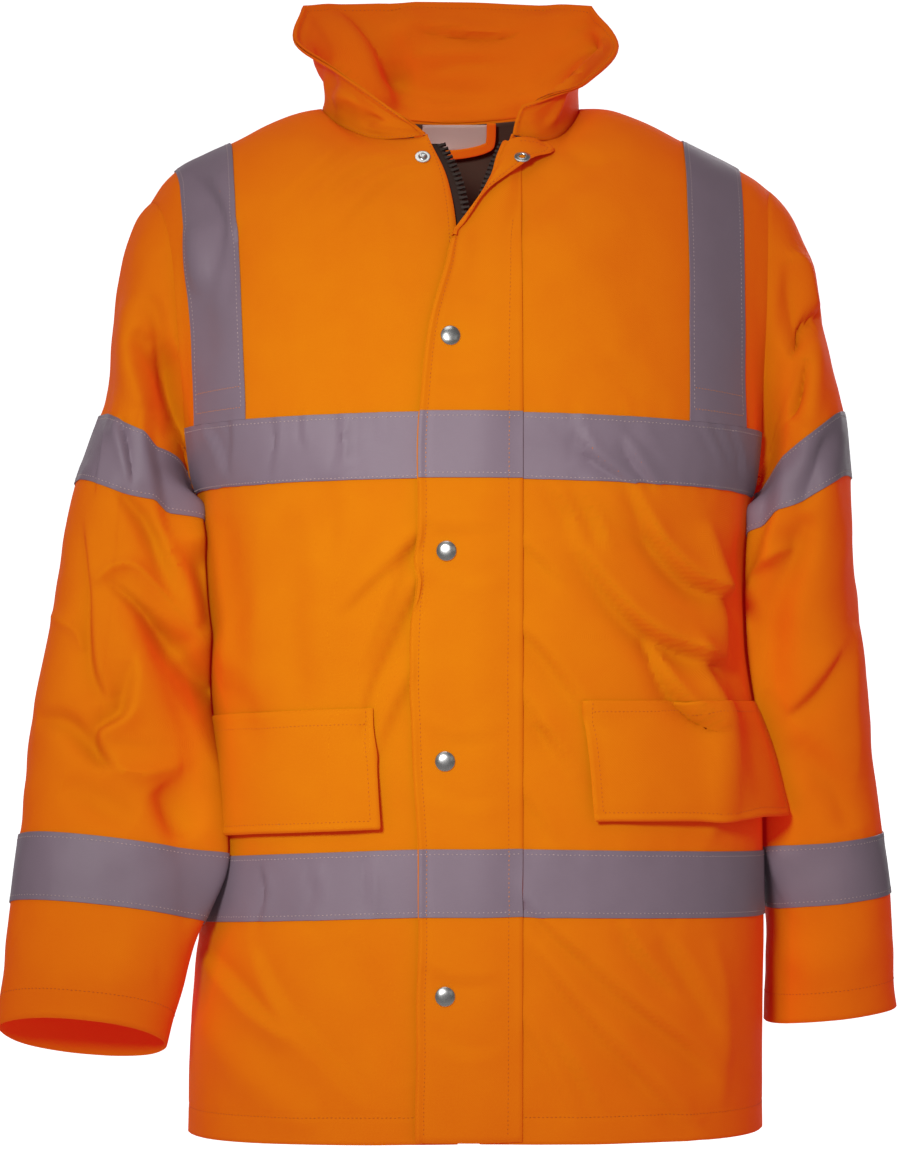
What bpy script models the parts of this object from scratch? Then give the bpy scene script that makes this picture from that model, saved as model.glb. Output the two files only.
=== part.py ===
"""Hi-vis work jacket: cloth walls on a worn, hollow form.

Millimetres in the tables, metres in the scene. X is the wearer's left, Y the back, Z up. The origin
lies between the shoulders, level with the sides of the neck. Right and left are the wearer's.
"""

import math

import bmesh
import bpy
from mathutils import Vector
from mathutils.bvhtree import BVHTree

MM = 0.001
RIGHT, LEFT = -1, 1
FRONT, BACK = -1, 1

# walls and gaps, mm
PANEL_WALL = 2.0
COLLAR_WALL = 2.6
COLLAR_END_WALL = 1.6
FLAP_WALL = 2.4
TAPE_WALL = 0.9
ZIP_WALL = 1.0
LINING_WALL = 1.0
SEAM_GAP = 0.3
LAYER_GAP = 0.35
ARMHOLE_GAP = 0.9
UNDERARM_GAP = 1.7
ARMHOLE_TAPE_GAP = 3.0
CHEST_TAPE_LIFT = 0.6

# body of the jacket: horizontal half sections, mm
BODY_SQUARENESS = 2.5
LEVEL_BEND = 1.2
BODY = [  # z, half width right, half width left, front depth, back depth
    (-800, 213, 233, 151, 139),
    (-700, 209, 233, 155, 142),
    (-630, 203, 234, 159, 144),
    (-580, 198, 234, 161, 145),
    (-500, 194, 231, 164, 147),
    (-400, 199, 221, 167, 150),
    (-300, 205, 224, 167, 153),
    (-240, 212, 229, 165, 152),
]

# named levels, mm: z at the middle of the front, at each side seam and at the middle of the back
LEVELS = {
    "hem": {"front": -784, RIGHT: -793, LEFT: -789, "back": -788},
    "hem_band": {"front": -764, RIGHT: -773, LEFT: -769, "back": -768},
    "waist_low": {"front": -615, RIGHT: -631, LEFT: -625, "back": -622},
    "waist_high": {"front": -565, RIGHT: -582, LEFT: -576, "back": -572},
    "pocket_low": {"front": -547, RIGHT: -566, LEFT: -552, "back": -553},
    "pocket_high": {"front": -460, RIGHT: -474, LEFT: -466, "back": -464},
    "chest_low": {"front": -291, RIGHT: -300, LEFT: -303, "back": -296},
    "chest_high": {"front": -242, RIGHT: -251, LEFT: -254, "back": -246},
}
LEVEL_STEPS = [  # from, to, rows between
    ("hem", "hem_band", 1),
    ("hem_band", "waist_low", 3),
    ("waist_low", "waist_high", 2),
    ("waist_high", "pocket_low", 1),
    ("pocket_low", "pocket_high", 3),
    ("pocket_high", "chest_low", 5),
]
ARMHOLE_LOW_STEPS = 3  # rows between the underarm and the top of the chest tape
YOKE_STEPS = [0.15, 0.3, 0.45, 0.6, 0.74, 0.88, 1.0]  # rows above the chest tape

# armhole above the chest tape, mm: share of the way up, x from the middle, y of its two edges
ARMHOLE = {
    RIGHT: [(0, 212, -62, 66), (0.25, 217, -73, 80), (0.5, 222, -62, 70), (0.75, 231, -37, 43),
            (1, 243, 0, 0)],
    LEFT: [(0, 229, -56, 68), (0.25, 232, -66, 82), (0.5, 234, -57, 70), (0.75, 236, -34, 42),
           (1, 240, 0, 0)],
}
SHOULDER_TIP_Z = {RIGHT: -73, LEFT: -64}
YOKE_ROUNDNESS = 0.85

# columns from the middle to the side, mm: x at the chest tape, x at the hem
ZIP_X = 4.5
ZIP_HALF = 8.5
COLUMNS = {
    RIGHT: [(4, 4), (33, 32), (64, 62), (88, 92), (112, 124), (134, 152), (157, 174), (180, 193),
            (203, 206)],
    LEFT: [(13, 13), (44, 44), (64, 66), (90, 92), (114, 124), (138, 155), (165, 182), (190, 205),
           (214, 222)],
}
FLAP_SEAM_COLUMN, POCKET_COLUMN = 2, 4  # from the front edge
BRACE_COLUMN = 5
BRACE_FROM_SIDE = (3, 1)  # inner and outer edge, columns in from the side
BACK_COLUMNS = [(0, 0), (30, 32), (62, 66), (92, 98), (113, 124)]  # between the braces, each side
NECK_REACH = 1.6  # how soon a column leaves the front edge's line for its own
INWARD_BEND = 1.7  # how late the front edge leans back towards the neck

# neck seam, mm, from the wearer's right front edge round the back to the left front edge, with the
# bend and the free edge of the collar above each station
NECK = [  # seam, bend, edge
    ((-28, -86, -29), (-34, -88, -25), (-42, -87, -19)),
    ((-46, -82, -31), (-50, -81, -20), (-55, -79, -9)),
    ((-70, -66, -29), (-73, -64, -8), (-76, -62, 8)),
    ((-95, -36, -16), (-94, -33, 12), (-101, -33, 28)),
    ((-109, 0, 0), (-101, 4, 30), (-126, 8, 52)),
    ((-94, 38, 2), (-94, 42, 46), (-131, 54, 80)),
    ((-58, 60, 0), (-60, 58, 50), (-90, 82, 93)),
    ((-8, 67, -3), (-7, 64, 50), (-8, 92, 96)),
    ((42, 60, 0), (44, 58, 50), (66, 87, 94)),
    ((77, 38, 2), (80, 44, 50), (112, 56, 80)),
    ((91, 0, 0), (87, 4, 50), (118, 0, 42)),
    ((84, -36, -17), (84, -34, 40), (97, -45, 16)),
    ((72, -62, -29), (71, -65, 6), (76, -72, 3)),
    ((57, -79, -32), (56, -83, -15), (57, -85, -4)),
    ((39, -86, -29), (40, -89, -19), (46, -90, -8)),
]
NECK_SIDE = {RIGHT: 4, LEFT: 10}
NECK_SPLIT = 2  # grid columns for each stretch of the neck seam
COLLAR_STEPS = 7
COLLAR_CLEARANCE = 0.7  # inner face above the panels' top edge
COLLAR_END_COLUMNS = 6  # over which the wall grows from the front ends

# shoulder seam, mm from the middle: x, z
SHOULDER = {
    RIGHT: [(109, 0), (129, -4), (152, -13), (176, -25), (200, -36), (224, -49), (234, -59), (243, -73)],
    LEFT: [(91, 0), (115, -1), (138, -9), (163, -22), (190, -36), (214, -48), (230, -57), (240, -64)],
}
SHOULDER_COLUMNS = {RIGHT: [143, 176, 200, 224, 243], LEFT: [132, 165, 190, 214, 240]}

# right and left front edges in the open neck, mm: z, x
NECK_OPENING = {
    RIGHT: [(-112, -4), (-80, -8), (-60, -13), (-42, -21), (-29, -28)],
    LEFT: [(-112, 13), (-80, 20), (-60, 26), (-42, 33), (-29, 39)],
}

# sleeve rings, mm: outer x, outer z, inner x, inner z, front y, back y, rise towards the front
SLEEVE = {
    RIGHT: [
        (283, -245, 207, -310, -94, 88, 0.22),
        (299, -298, 209, -358, -100, 80, 0.24),
        (314, -386, 206, -430, -108, 50, 0.2),
        (330, -484, 206, -500, -122, 16, 0.2),
        (336, -562, 196, -578, -138, -14, 0.2),
        (342, -612, 199, -627, -144, -30, 0.22),
        (348, -705, 224, -716, -148, -54, 0.4),
    ],
    LEFT: [
        (296, -243, 230, -312, -88, 96, 0.2),
        (301, -292, 230, -358, -86, 98, 0.2),
        (309, -386, 229, -430, -66, 98, 0.08),
        (322, -500, 239, -515, -46, 98, 0.0),
        (329, -564, 241, -575, -40, 90, 0.0),
        (335, -611, 241, -622, -36, 86, 0.0),
        (342, -700, 238, -712, -28, 80, 0.0),
    ],
}
SLEEVE_STEPS = [6, 2, 3, 3, 3, 2, 3]  # rows up to each ring
SLEEVE_SQUARENESS = 2.2
CAP_BULGE, CAP_LIFT = 11, 0.4
ARM_TAPE_RINGS, WRIST_TAPE_RINGS = (0, 1), (4, 5)

# largest folds, mm: panel, start x z, end x z, half width, depth (outwards is positive)
FOLDS = [
    ("front_left", 120, -395, 176, -355, 15, -6),
    ("front_left", 105, -440, 185, -400, 16, 5),
    ("front_left", 55, -640, 165, -770, 16, -5),
    ("front_left", 85, -640, 185, -745, 14, 5),
    ("front_right", -60, -390, -90, -470, 16, -4),
    ("front_right", -180, -670, -120, -720, 16, 4),
    ("front_right", -150, -640, -90, -700, 16, -4),
    ("back", -150, -400, -60, -520, 18, -5),
    ("back", 150, -390, 70, -510, 18, -5),
    ("back", -120, -650, -40, -740, 18, 4),
    ("back", 130, -650, 60, -750, 18, 4),
    ("sleeve_right", -290, -330, -225, -410, 14, -8),
    ("sleeve_right", -300, -365, -215, -470, 14, 8),
    ("sleeve_right", -315, -430, -230, -540, 14, -6),
    ("sleeve_right", -325, -500, -270, -545, 12, 5),
    ("sleeve_left", 300, -330, 250, -400, 14, -6),
    ("sleeve_left", 315, -450, 255, -520, 14, 6),
    ("sleeve_left", 250, -150, 240, -230, 12, -5),
]

FOLD_START, FOLD_RAMP = 0.12, 0.25  # height at a fold's tips, and the share of its length it rises over

# storm flap, mm: z, x of its free edge, or above the zip's opening of the line where it turns back
FLAP_SEAM_X = 44
FLAP_COLUMNS = 5
FLAP_LIFT = 2.6
FLAP_EDGE = [
    (-240, -33), (-200, -26), (-165, -20), (-135, -12), (-105, -4), (-94, 4), (-75, 17), (-61, 24),
    (-50, 27), (-38, 32),
]
FLAP_STEP = 42

# turned-back top of the storm flap, mm: z, x where it turns, x of its free edge
FACING = [
    (-99, 0, 5), (-94, 4, 11), (-75, 17, 26), (-61, 24, 44), (-51, 27, 58), (-41, 31, 68), (-36, 34, 62),
]
FACING_WALL = 1.6
FACING_LIFT = [(48, FLAP_LIFT + FLAP_WALL + 1.5), (68, 2.4)]  # x, lift
FACING_COLUMNS = 5

# pocket flaps, mm: how far the lower edge stands off at its inner and outer corner, and how far the
# flap runs from the brace's column towards the side seam
POCKET_STAND_OFF = {RIGHT: (8, 3), LEFT: (7, 19)}
POCKET_REACH = {RIGHT: 0.12, LEFT: 0.5}

# zip, mm
ZIP_UNDERLAP = 9
ZIP_STEP = 60
ZIP_GAP = 1.6
ZIP_TOP_Z, ZIP_LOW_Z = -36, -770
SLIDER = (10, 13, 2.6)
SLIDER_ROUND = 1.2
SLIDER_DEPTH = 0.8
SLIDER_Z = -101

# snaps, mm: profiles are radius and height above the cloth
SNAP_CAPS = [(-9, -186), (-12, -345), (-13, -500), (-13, -674)]
SNAP_STUD = (-30, -48)
SNAP_SOCKET = (45, -49)
CAP_PROFILE = [(0, 0), (7.2, 0), (7.5, 0.6), (6.6, 1.6), (4.4, 2.4), (0, 2.9)]
STUD_PROFILE = [(0, 0), (5.6, 0), (5.6, 0.7), (3.2, 1.2), (2.4, 1.2), (2.6, 2.4), (0, 3.0)]
SOCKET_PROFILE = [(2.2, 0), (6.0, 0), (6.0, 0.8), (4.4, 1.9), (2.6, 1.9), (2.2, 1.4), (2.2, 0)]
SNAP_SIDES = 16
SNAP_GAP = 0.6
STUD_GAP = 1.6
WELD_GAP = 0.01

# looking for the cloth behind a point, mm
RAY_START, INSIDE_START = -400, -20
SEARCH_STEPS = 14
SLOPE_REACH = 6

# inside the back neck, mm
LINING_COLUMNS = 6
LABEL_GAP, LOOP_GAP = 4, 8.5
LABEL_X = (-31, 21)
LABEL_Z = (-30, -6)
LOOP_PATH = [(-35, -6), (-31, -18), (-18, -25), (4, -25), (19, -22), (25, -15), (26, -6)]
LOOP_WIDTH = 7
LOOP_WALL = 1.2
LABEL_WALL = 0.6

COLOURS = {  # base colour, roughness, metallic
    "hi_vis_orange": ((0.80, 0.19, 0.006), 0.62, 0.0),
    "reflective_tape": ((0.26, 0.23, 0.26), 0.5, 0.0),
    "dark_lining": ((0.03, 0.012, 0.007), 0.7, 0.0),
    "zip_plastic": ((0.035, 0.02, 0.015), 0.4, 0.0),
    "nickel": ((0.75, 0.75, 0.74), 0.3, 1.0),
    "label_white": ((0.75, 0.72, 0.70), 0.6, 0.0),
}


def clear_scene():
    for old in list(bpy.data.objects):
        bpy.data.objects.remove(old, do_unlink=True)


def mix(a, b, share):
    return a + (b - a) * share


def lookup(table, at, column):
    """Value of a column where the table's first column is at, between two rows if need be."""
    rows = sorted(table)
    if at <= rows[0][0]:
        return rows[0][column]
    for low, high in zip(rows, rows[1:]):
        if at <= high[0]:
            return mix(low[column], high[column], (at - low[0]) / (high[0] - low[0]))
    return rows[-1][column]


def spline(points, split):
    """Points on a smooth curve through the given ones, split steps to each stretch."""
    out = []
    for i in range(len(points) - 1):
        before = points[max(i - 1, 0)]
        after = points[min(i + 2, len(points) - 1)]
        a, b = points[i], points[i + 1]
        for k in range(split):
            t = k / split
            out.append(
                (a * 2 + (b - before) * t + (before * 2 - a * 5 + b * 4 - after) * t * t
                 + (a * 3 - before - b * 3 + after) * t ** 3) * 0.5
            )
    return out + [points[-1]]


# ---------------------------------------------------------------- the worn form of the body


def half_width(side, z):
    return lookup(BODY, z, 1 if side == RIGHT else 2)


def depth(face, z):
    return lookup(BODY, z, 3 if face == FRONT else 4)


def yoke_rise(share):
    return math.sin(math.pi / 2 * share) ** YOKE_ROUNDNESS


def armhole_low(side, face, share):
    """Armhole between the underarm (share 0) and the top of the chest tape (share 1)."""
    _, x, y_front, y_back = ARMHOLE[side][0]
    y = y_front if face == FRONT else y_back
    low, high = LEVELS["chest_low"][side], LEVELS["chest_high"][side]
    angle = math.pi / 2 * share
    width = half_width(side, low)
    return Vector((side * mix(width, x, share), y * math.sin(angle), mix(low, high, 1 - math.cos(angle))))


def armhole_high(side, face, share):
    """Armhole between the top of the chest tape (share 0) and the tip of the shoulder (share 1)."""
    x = lookup(ARMHOLE[side], share, 1)
    y = lookup(ARMHOLE[side], share, 2 if face == FRONT else 3)
    z = mix(LEVELS["chest_high"][side], SHOULDER_TIP_Z[side], yoke_rise(share))
    return Vector((side * x, y, z))


def section_angle(x, end, centre_depth):
    """Angle and width of the half section that runs from the middle to the point end."""
    n = BODY_SQUARENESS
    full = math.acos(min(1.0, (abs(end.y) / centre_depth) ** (n / 2)))
    width = abs(end.x) / math.sin(full) ** (2 / n)
    return full, width, math.asin(min(1.0, (abs(x) / width)) ** (n / 2))


def section_point(side, face, share, z_middle, end):
    """Point at a share of the half section from the middle of the face to its end."""
    z = mix(z_middle, end.z, share ** LEVEL_BEND)
    centre_depth = depth(face, z)
    full, width, _ = section_angle(0, end, centre_depth)
    angle = full * share
    power = 2 / BODY_SQUARENESS
    x = width * math.sin(angle) ** power
    y = centre_depth * max(0.0, math.cos(angle)) ** power
    return Vector((side * x, face * y, z))


def column_share(side, face, x, z, end):
    full, _, angle = section_angle(x, end, depth(face, z))
    return angle / full


def row_plan():
    """The rows of a panel from hem to chest tape top: level pair, share, and the named rows."""
    rows, names = [("hem", "hem", 0.0)], {"hem": 0}
    for low, high, steps in LEVEL_STEPS:
        rows += [(low, high, k / steps) for k in range(1, steps + 1)]
        names[high] = len(rows) - 1
    for k in range(1, ARMHOLE_LOW_STEPS + 1):
        rows.append(("chest_low", "chest_high", k / ARMHOLE_LOW_STEPS))
    names["chest_high"] = len(rows) - 1
    return rows, names


ROWS, ROW = row_plan()
TOP_ROW = len(ROWS) - 1 + len(YOKE_STEPS)


def row_end(side, face, row):
    """Outer end of a row: on the side seam below the underarm, on the armhole above."""
    low, high, share = ROWS[row]
    if high == "chest_high":
        return armhole_low(side, face, share)
    z = mix(LEVELS[low][side], LEVELS[high][side], share)
    return Vector((side * half_width(side, z), 0, z))


def row_middle(face, row):
    low, high, share = ROWS[row]
    where = "front" if face == FRONT else "back"
    if high == "chest_high":
        share = 1 - math.cos(math.pi / 2 * share)
    return mix(LEVELS[low][where], LEVELS[high][where], share)


def lower_point(side, face, row, x_chest, x_hem):
    """Point of a column in a row at or below the top of the chest tape; no x means the side."""
    end = row_end(side, face, row)
    middle = row_middle(face, row)
    if x_chest is None:
        return end
    chest_end = row_end(side, face, ROW["chest_high"])
    hem_end = row_end(side, face, 0)
    at_chest = column_share(side, face, x_chest, LEVELS["chest_high"]["front"], chest_end)
    at_hem = column_share(side, face, x_hem, LEVELS["hem"]["front"], hem_end)
    height = (middle - LEVELS["hem"]["front"]) / (LEVELS["chest_high"]["front"] - LEVELS["hem"]["front"])
    return section_point(side, face, mix(at_hem, at_chest, height), middle, end)


def shoulder_point(side, x):
    return Vector((side * x, 0, lookup(SHOULDER[side], x, 1)))


def neck_line(part):
    """Smooth line round the neck through seam, bend or edge points."""
    return spline([Vector(station[part]) for station in NECK], NECK_SPLIT)


def panel_top(side, face):
    """Top ends of a panel's columns: along the neck seam, then along the shoulder seam."""
    neck = neck_line(0)
    corner = NECK_SIDE[side] * NECK_SPLIT
    if face == FRONT:
        stretch = neck[:corner + 1] if side == RIGHT else neck[corner:][::-1]
    else:
        middle = len(neck) // 2
        stretch = neck[corner:middle + 1][::-1] if side == RIGHT else neck[middle:corner + 1]
    return stretch + [shoulder_point(side, x) for x in SHOULDER_COLUMNS[side]]


def columns(side, face):
    """Columns of a panel from the middle out: x at the chest tape, x at the hem, top point."""
    tops = panel_top(side, face)
    inner = COLUMNS[side][:BRACE_COLUMN] if face == FRONT else BACK_COLUMNS
    outer = COLUMNS[side][BRACE_COLUMN:] + [(None, None)]
    on_neck = len(tops) - len(outer)
    spread = []
    for k in range(on_neck):
        at = k / (on_neck - 1) * (len(inner) - 1)
        i = min(int(at), len(inner) - 2)
        spread.append(tuple(mix(inner[i][j], inner[i + 1][j], at - i) for j in (0, 1)))
    return [(x_chest, x_hem, top) for (x_chest, x_hem), top in zip(spread + outer, tops)]


def upper_point(side, face, share, foot, top, on_neck):
    """Point of a column above the chest tape, between its foot and its top end."""
    if on_neck is None:
        return armhole_high(side, face, share)
    rise = mix(share, yoke_rise(share), on_neck)
    inward = mix(share ** INWARD_BEND, 1 - math.cos(math.pi / 2 * share) ** YOKE_ROUNDNESS, on_neck)
    z = mix(foot.z, top.z, rise)
    x = mix(foot.x, top.x, share)
    if face == FRONT:
        opening = NECK_OPENING[side]
        edge = lookup(opening, z, 1)
        x = mix(edge + (foot.x - opening[0][1]) * (1 - share), x, min(1.0, on_neck * NECK_REACH))
    return Vector((x, mix(foot.y, top.y, inward), z))


def panel_half(side, face):
    """Grid of a front, or of one half of the back, from the middle out and from hem to top."""
    plan = columns(side, face)
    last = len(plan) - 1
    neck_end = last - len(SHOULDER_COLUMNS[side])
    grid = []
    for row in range(len(ROWS)):
        grid.append([lower_point(side, face, row, x, x_hem) for x, x_hem, _ in plan])
    feet = grid[-1]
    for share in YOKE_STEPS:
        line = []
        for i, (_, _, top) in enumerate(plan):
            on_neck = None if i == last else min(1.0, i / neck_end)
            line.append(upper_point(side, face, share, feet[i], top, on_neck))
        grid.append(line)
    return grid


def fold_offset(panel, point):
    """How far the folds of a panel push a point of it outwards."""
    total = 0.0
    for name, x0, z0, x1, z1, width, height in FOLDS:
        if name != panel:
            continue
        along = Vector((x1 - x0, z1 - z0))
        to = Vector((point.x - x0, point.z - z0))
        share = max(0.0, min(1.0, to.dot(along) / along.length_squared))
        away = (to - along * share).length / width
        ends = min(1.0, (FOLD_START + min(share, 1 - share)) / FOLD_RAMP)
        total += height * ends * math.exp(-away * away)
    return total


# ---------------------------------------------------------------- grids, normals and walls


def grid_normals(grid, closed=False):
    """Outward normal at each grid point, from its neighbours; a closed grid wraps along rows."""
    rows, cols = len(grid), len(grid[0])
    normals = []
    for r in range(rows):
        line = []
        for c in range(cols):
            up = grid[min(r + 1, rows - 1)][c] - grid[max(r - 1, 0)][c]
            if closed:
                across = grid[r][(c + 1) % cols] - grid[r][c - 1]
            else:
                across = grid[r][min(c + 1, cols - 1)] - grid[r][max(c - 1, 0)]
            line.append(across.cross(up).normalized())
        normals.append(line)
    return normals


def point_key(point):
    return tuple(round(v, 2) for v in point)


def share_normals(sheets):
    """Give points that lie on each other in several sheets one common normal."""
    total = {}
    for grid, normals in sheets:
        for line, normal_line in zip(grid, normals):
            for point, normal in zip(line, normal_line):
                key = point_key(point)
                total[key] = total.get(key, Vector((0, 0, 0))) + normal
    for grid, normals in sheets:
        for line, normal_line in zip(grid, normals):
            for c, point in enumerate(line):
                normal_line[c] = total[point_key(point)].normalized()


def moved(grid, normals, distance):
    """The grid moved out by a distance, or by distance(row, column)."""
    out = []
    for r, (line, normal_line) in enumerate(zip(grid, normals)):
        row = []
        for c, (point, normal) in enumerate(zip(line, normal_line)):
            row.append(point + normal * (distance(r, c) if callable(distance) else distance))
        out.append(row)
    return out


def cut(grid, rows, cols):
    return [line[cols[0]:cols[1] + 1] for line in grid[rows[0]:rows[1] + 1]]


def trimmed(outer, inner, edges, gap):
    """Pull the named edges of a wall back by a gap along its surface."""
    for sheet in (outer, inner):
        if "bottom" in edges:
            for c, point in enumerate(sheet[0]):
                sheet[0][c] = point + (sheet[1][c] - point).normalized() * gap
        if "top" in edges:
            for c, point in enumerate(sheet[-1]):
                sheet[-1][c] = point + (sheet[-2][c] - point).normalized() * gap
        if "start" in edges:
            for line in sheet:
                line[0] = line[0] + (line[1] - line[0]).normalized() * gap
        if "end" in edges:
            for line in sheet:
                line[-1] = line[-1] + (line[-2] - line[-1]).normalized() * gap


def wall(name, material, outer, inner, closed=False):
    """One closed solid between an outer and an inner sheet of points, given in millimetres."""
    mesh = bpy.data.meshes.new(name)
    bm = bmesh.new()
    rows, cols = len(outer), len(outer[0])
    sheets = [[[bm.verts.new(p * MM) for p in line] for line in sheet] for sheet in (outer, inner)]
    spans = cols if closed else cols - 1
    for r in range(rows - 1):
        for c in range(spans):
            d = (c + 1) % cols
            for sheet in sheets:
                bm.faces.new((sheet[r][c], sheet[r][d], sheet[r + 1][d], sheet[r + 1][c]))
    for c in range(spans):
        d = (c + 1) % cols
        for r in (0, rows - 1):
            bm.faces.new((sheets[0][r][c], sheets[0][r][d], sheets[1][r][d], sheets[1][r][c]))
    if not closed:
        for r in range(rows - 1):
            for c in (0, cols - 1):
                bm.faces.new((sheets[0][r][c], sheets[0][r + 1][c], sheets[1][r + 1][c], sheets[1][r][c]))
    bmesh.ops.recalc_face_normals(bm, faces=bm.faces)
    bm.to_mesh(mesh)
    bm.free()
    part = bpy.data.objects.new(name, mesh)
    jacket.objects.link(part)
    mesh.materials.append(materials[material])
    return part


def sheet_wall(name, material, grid, normals, lift, thickness, edges=(), closed=False, gap=SEAM_GAP):
    """A wall that lies lift above a grid and is thickness thick."""
    inner = moved(grid, normals, lift)
    if callable(lift):
        outer = moved(grid, normals, lambda r, c: lift(r, c) + thickness)
    else:
        outer = moved(grid, normals, lift + thickness)
    trimmed(outer, inner, edges, gap)
    return wall(name, material, outer, inner, closed)


# ---------------------------------------------------------------- sleeves


def armhole_loop(side):
    """The armhole from the underarm up its front to the tip and down its back, as the panels have it."""
    front = [armhole_low(side, FRONT, k / ARMHOLE_LOW_STEPS) for k in range(ARMHOLE_LOW_STEPS + 1)]
    front += [armhole_high(side, FRONT, share) for share in YOKE_STEPS]
    back = [armhole_low(side, BACK, k / ARMHOLE_LOW_STEPS) for k in range(ARMHOLE_LOW_STEPS + 1)]
    back += [armhole_high(side, BACK, share) for share in YOKE_STEPS]
    return front + back[1:-1][::-1]


def ring_point(side, ring, angle):
    """Point of a sleeve ring: angle 0 at the inner seam, a half turn at the outer side."""
    x_out, z_out, x_in, z_in, y_front, y_back, rise = ring
    power = 2 / SLEEVE_SQUARENESS
    cosine, sine = math.cos(angle), math.sin(angle)
    out = 0.5 - 0.5 * math.copysign(abs(cosine) ** power, cosine)
    forward = math.copysign(abs(sine) ** power, sine)
    half_depth = (y_back - y_front) / 2
    y = (y_back + y_front) / 2 - half_depth * forward
    z = mix(z_in, z_out, out) + rise * half_depth * forward
    return Vector((side * mix(x_in, x_out, out), y, z))


def sleeve_grid(side):
    """Rows from cuff to armhole, columns round the sleeve; and the row of each ring."""
    loop = armhole_loop(side)
    low, high = LEVELS["chest_low"][side], LEVELS["chest_high"][side]
    for point in loop:
        near_underarm = max(0.0, (high - point.z) / (high - low))
        point.x += side * (ARMHOLE_GAP + UNDERARM_GAP * near_underarm)
    count = len(loop)
    half = ARMHOLE_LOW_STEPS + len(YOKE_STEPS)
    lengths = [0.0]
    for i in range(half):
        lengths.append(lengths[-1] + (loop[i + 1] - loop[i]).length)
    shares = [length / lengths[-1] for length in lengths]
    angles = [math.pi * s for s in shares] + [2 * math.pi - math.pi * s for s in shares[1:-1][::-1]]
    rings = [[ring_point(side, ring, a) for a in angles] for ring in SLEEVE[side]]
    rows, ring_rows = [loop], []
    for k in range(1, SLEEVE_STEPS[0] + 1):
        v = k / SLEEVE_STEPS[0]
        line = []
        for i in range(count):
            point = loop[i].lerp(rings[0][i], v)
            outward = (0.5 - 0.5 * math.cos(angles[i])) ** 2
            bulge = CAP_BULGE * math.sin(math.pi * v ** 0.5) * outward
            line.append(point + Vector((side * bulge, 0, bulge * CAP_LIFT)))
        rows.append(line)
    ring_rows.append(len(rows) - 1)
    for j in range(1, len(rings)):
        steps = SLEEVE_STEPS[j]
        before = rings[max(j - 2, 0)]
        after = rings[min(j + 1, len(rings) - 1)]
        for k in range(1, steps + 1):
            rows.append([
                spline([before[i], rings[j - 1][i], rings[j][i], after[i]], steps)[steps + k]
                for i in range(count)
            ])
        ring_rows.append(len(rows) - 1)
    last = len(rows) - 1
    return rows[::-1], [last - r for r in ring_rows]


def build_sleeve(side, word):
    name = "sleeve_" + word
    grid, ring_rows = sleeve_grid(side)
    if side == RIGHT:
        grid = [line[::-1] for line in grid]
    normals = grid_normals(grid, closed=True)
    top = len(grid) - 1
    grid = moved(grid, normals, lambda r, c: 0 if r == top else fold_offset(name, grid[r][c]))
    normals = grid_normals(grid, closed=True)
    sheet_wall(name, "hi_vis_orange", grid, normals, -PANEL_WALL, PANEL_WALL, edges=("top",), closed=True)
    for tape, (high, low) in (("tape_arm_", ARM_TAPE_RINGS), ("tape_wrist_", WRIST_TAPE_RINGS)):
        rows = (ring_rows[low], ring_rows[high])
        band, band_normals = cut(grid, rows, (0, len(grid[0]))), cut(normals, rows, (0, len(grid[0])))
        sheet_wall(tape + word, "reflective_tape", band, band_normals, LAYER_GAP, TAPE_WALL, closed=True)


# ---------------------------------------------------------------- body pieces


def build_panels():
    """Fronts and back on shared seams; returns their grids and normals by name."""
    grids = {
        "front_right": [line[::-1] for line in panel_half(RIGHT, FRONT)],
        "front_left": panel_half(LEFT, FRONT),
    }
    back_left, back_right = panel_half(LEFT, BACK), panel_half(RIGHT, BACK)
    grids["back"] = [left[::-1] + right[1:] for left, right in zip(back_left, back_right)]
    normals = {name: grid_normals(grid) for name, grid in grids.items()}
    for name, grid in grids.items():
        last = len(grid[0]) - 1
        bare = normals[name]
        grids[name] = [
            [p if c in (0, last) or r == TOP_ROW else p + bare[r][c] * fold_offset(name, p)
             for c, p in enumerate(line)]
            for r, line in enumerate(grid)
        ]
        normals[name] = grid_normals(grids[name])
    share_normals([(grids[name], normals[name]) for name in grids])
    for name, grid in grids.items():
        sheet_wall(name, "hi_vis_orange", grid, normals[name], -PANEL_WALL, PANEL_WALL,
                   edges=("top", "start", "end"))
    return grids, normals


def tape(name, grids, normals, panel, rows, cols, edges, gap, lift):
    grid, grid_n = cut(grids[panel], rows, cols), cut(normals[panel], rows, cols)
    sheet_wall(name, "reflective_tape", grid, grid_n, lift, TAPE_WALL, edges, gap=gap)


def build_tapes(grids, normals):
    last = len(grids["front_right"][0]) - 1
    back_last = len(grids["back"][0]) - 1
    for word, gap, lift in (("chest", ARMHOLE_TAPE_GAP, CHEST_TAPE_LIFT), ("waist", SEAM_GAP, LAYER_GAP)):
        rows = (ROW[word + "_low"], ROW[word + "_high"])
        for name, panel, cols, edges in (
            ("right", "front_right", (0, last), ("start",)),
            ("left", "front_left", (FLAP_SEAM_COLUMN, last), ("end",)),
            ("back", "back", (0, back_last), ("start", "end")),
        ):
            tape(f"tape_{word}_{name}", grids, normals, panel, rows, cols, edges, gap, lift)


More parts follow.
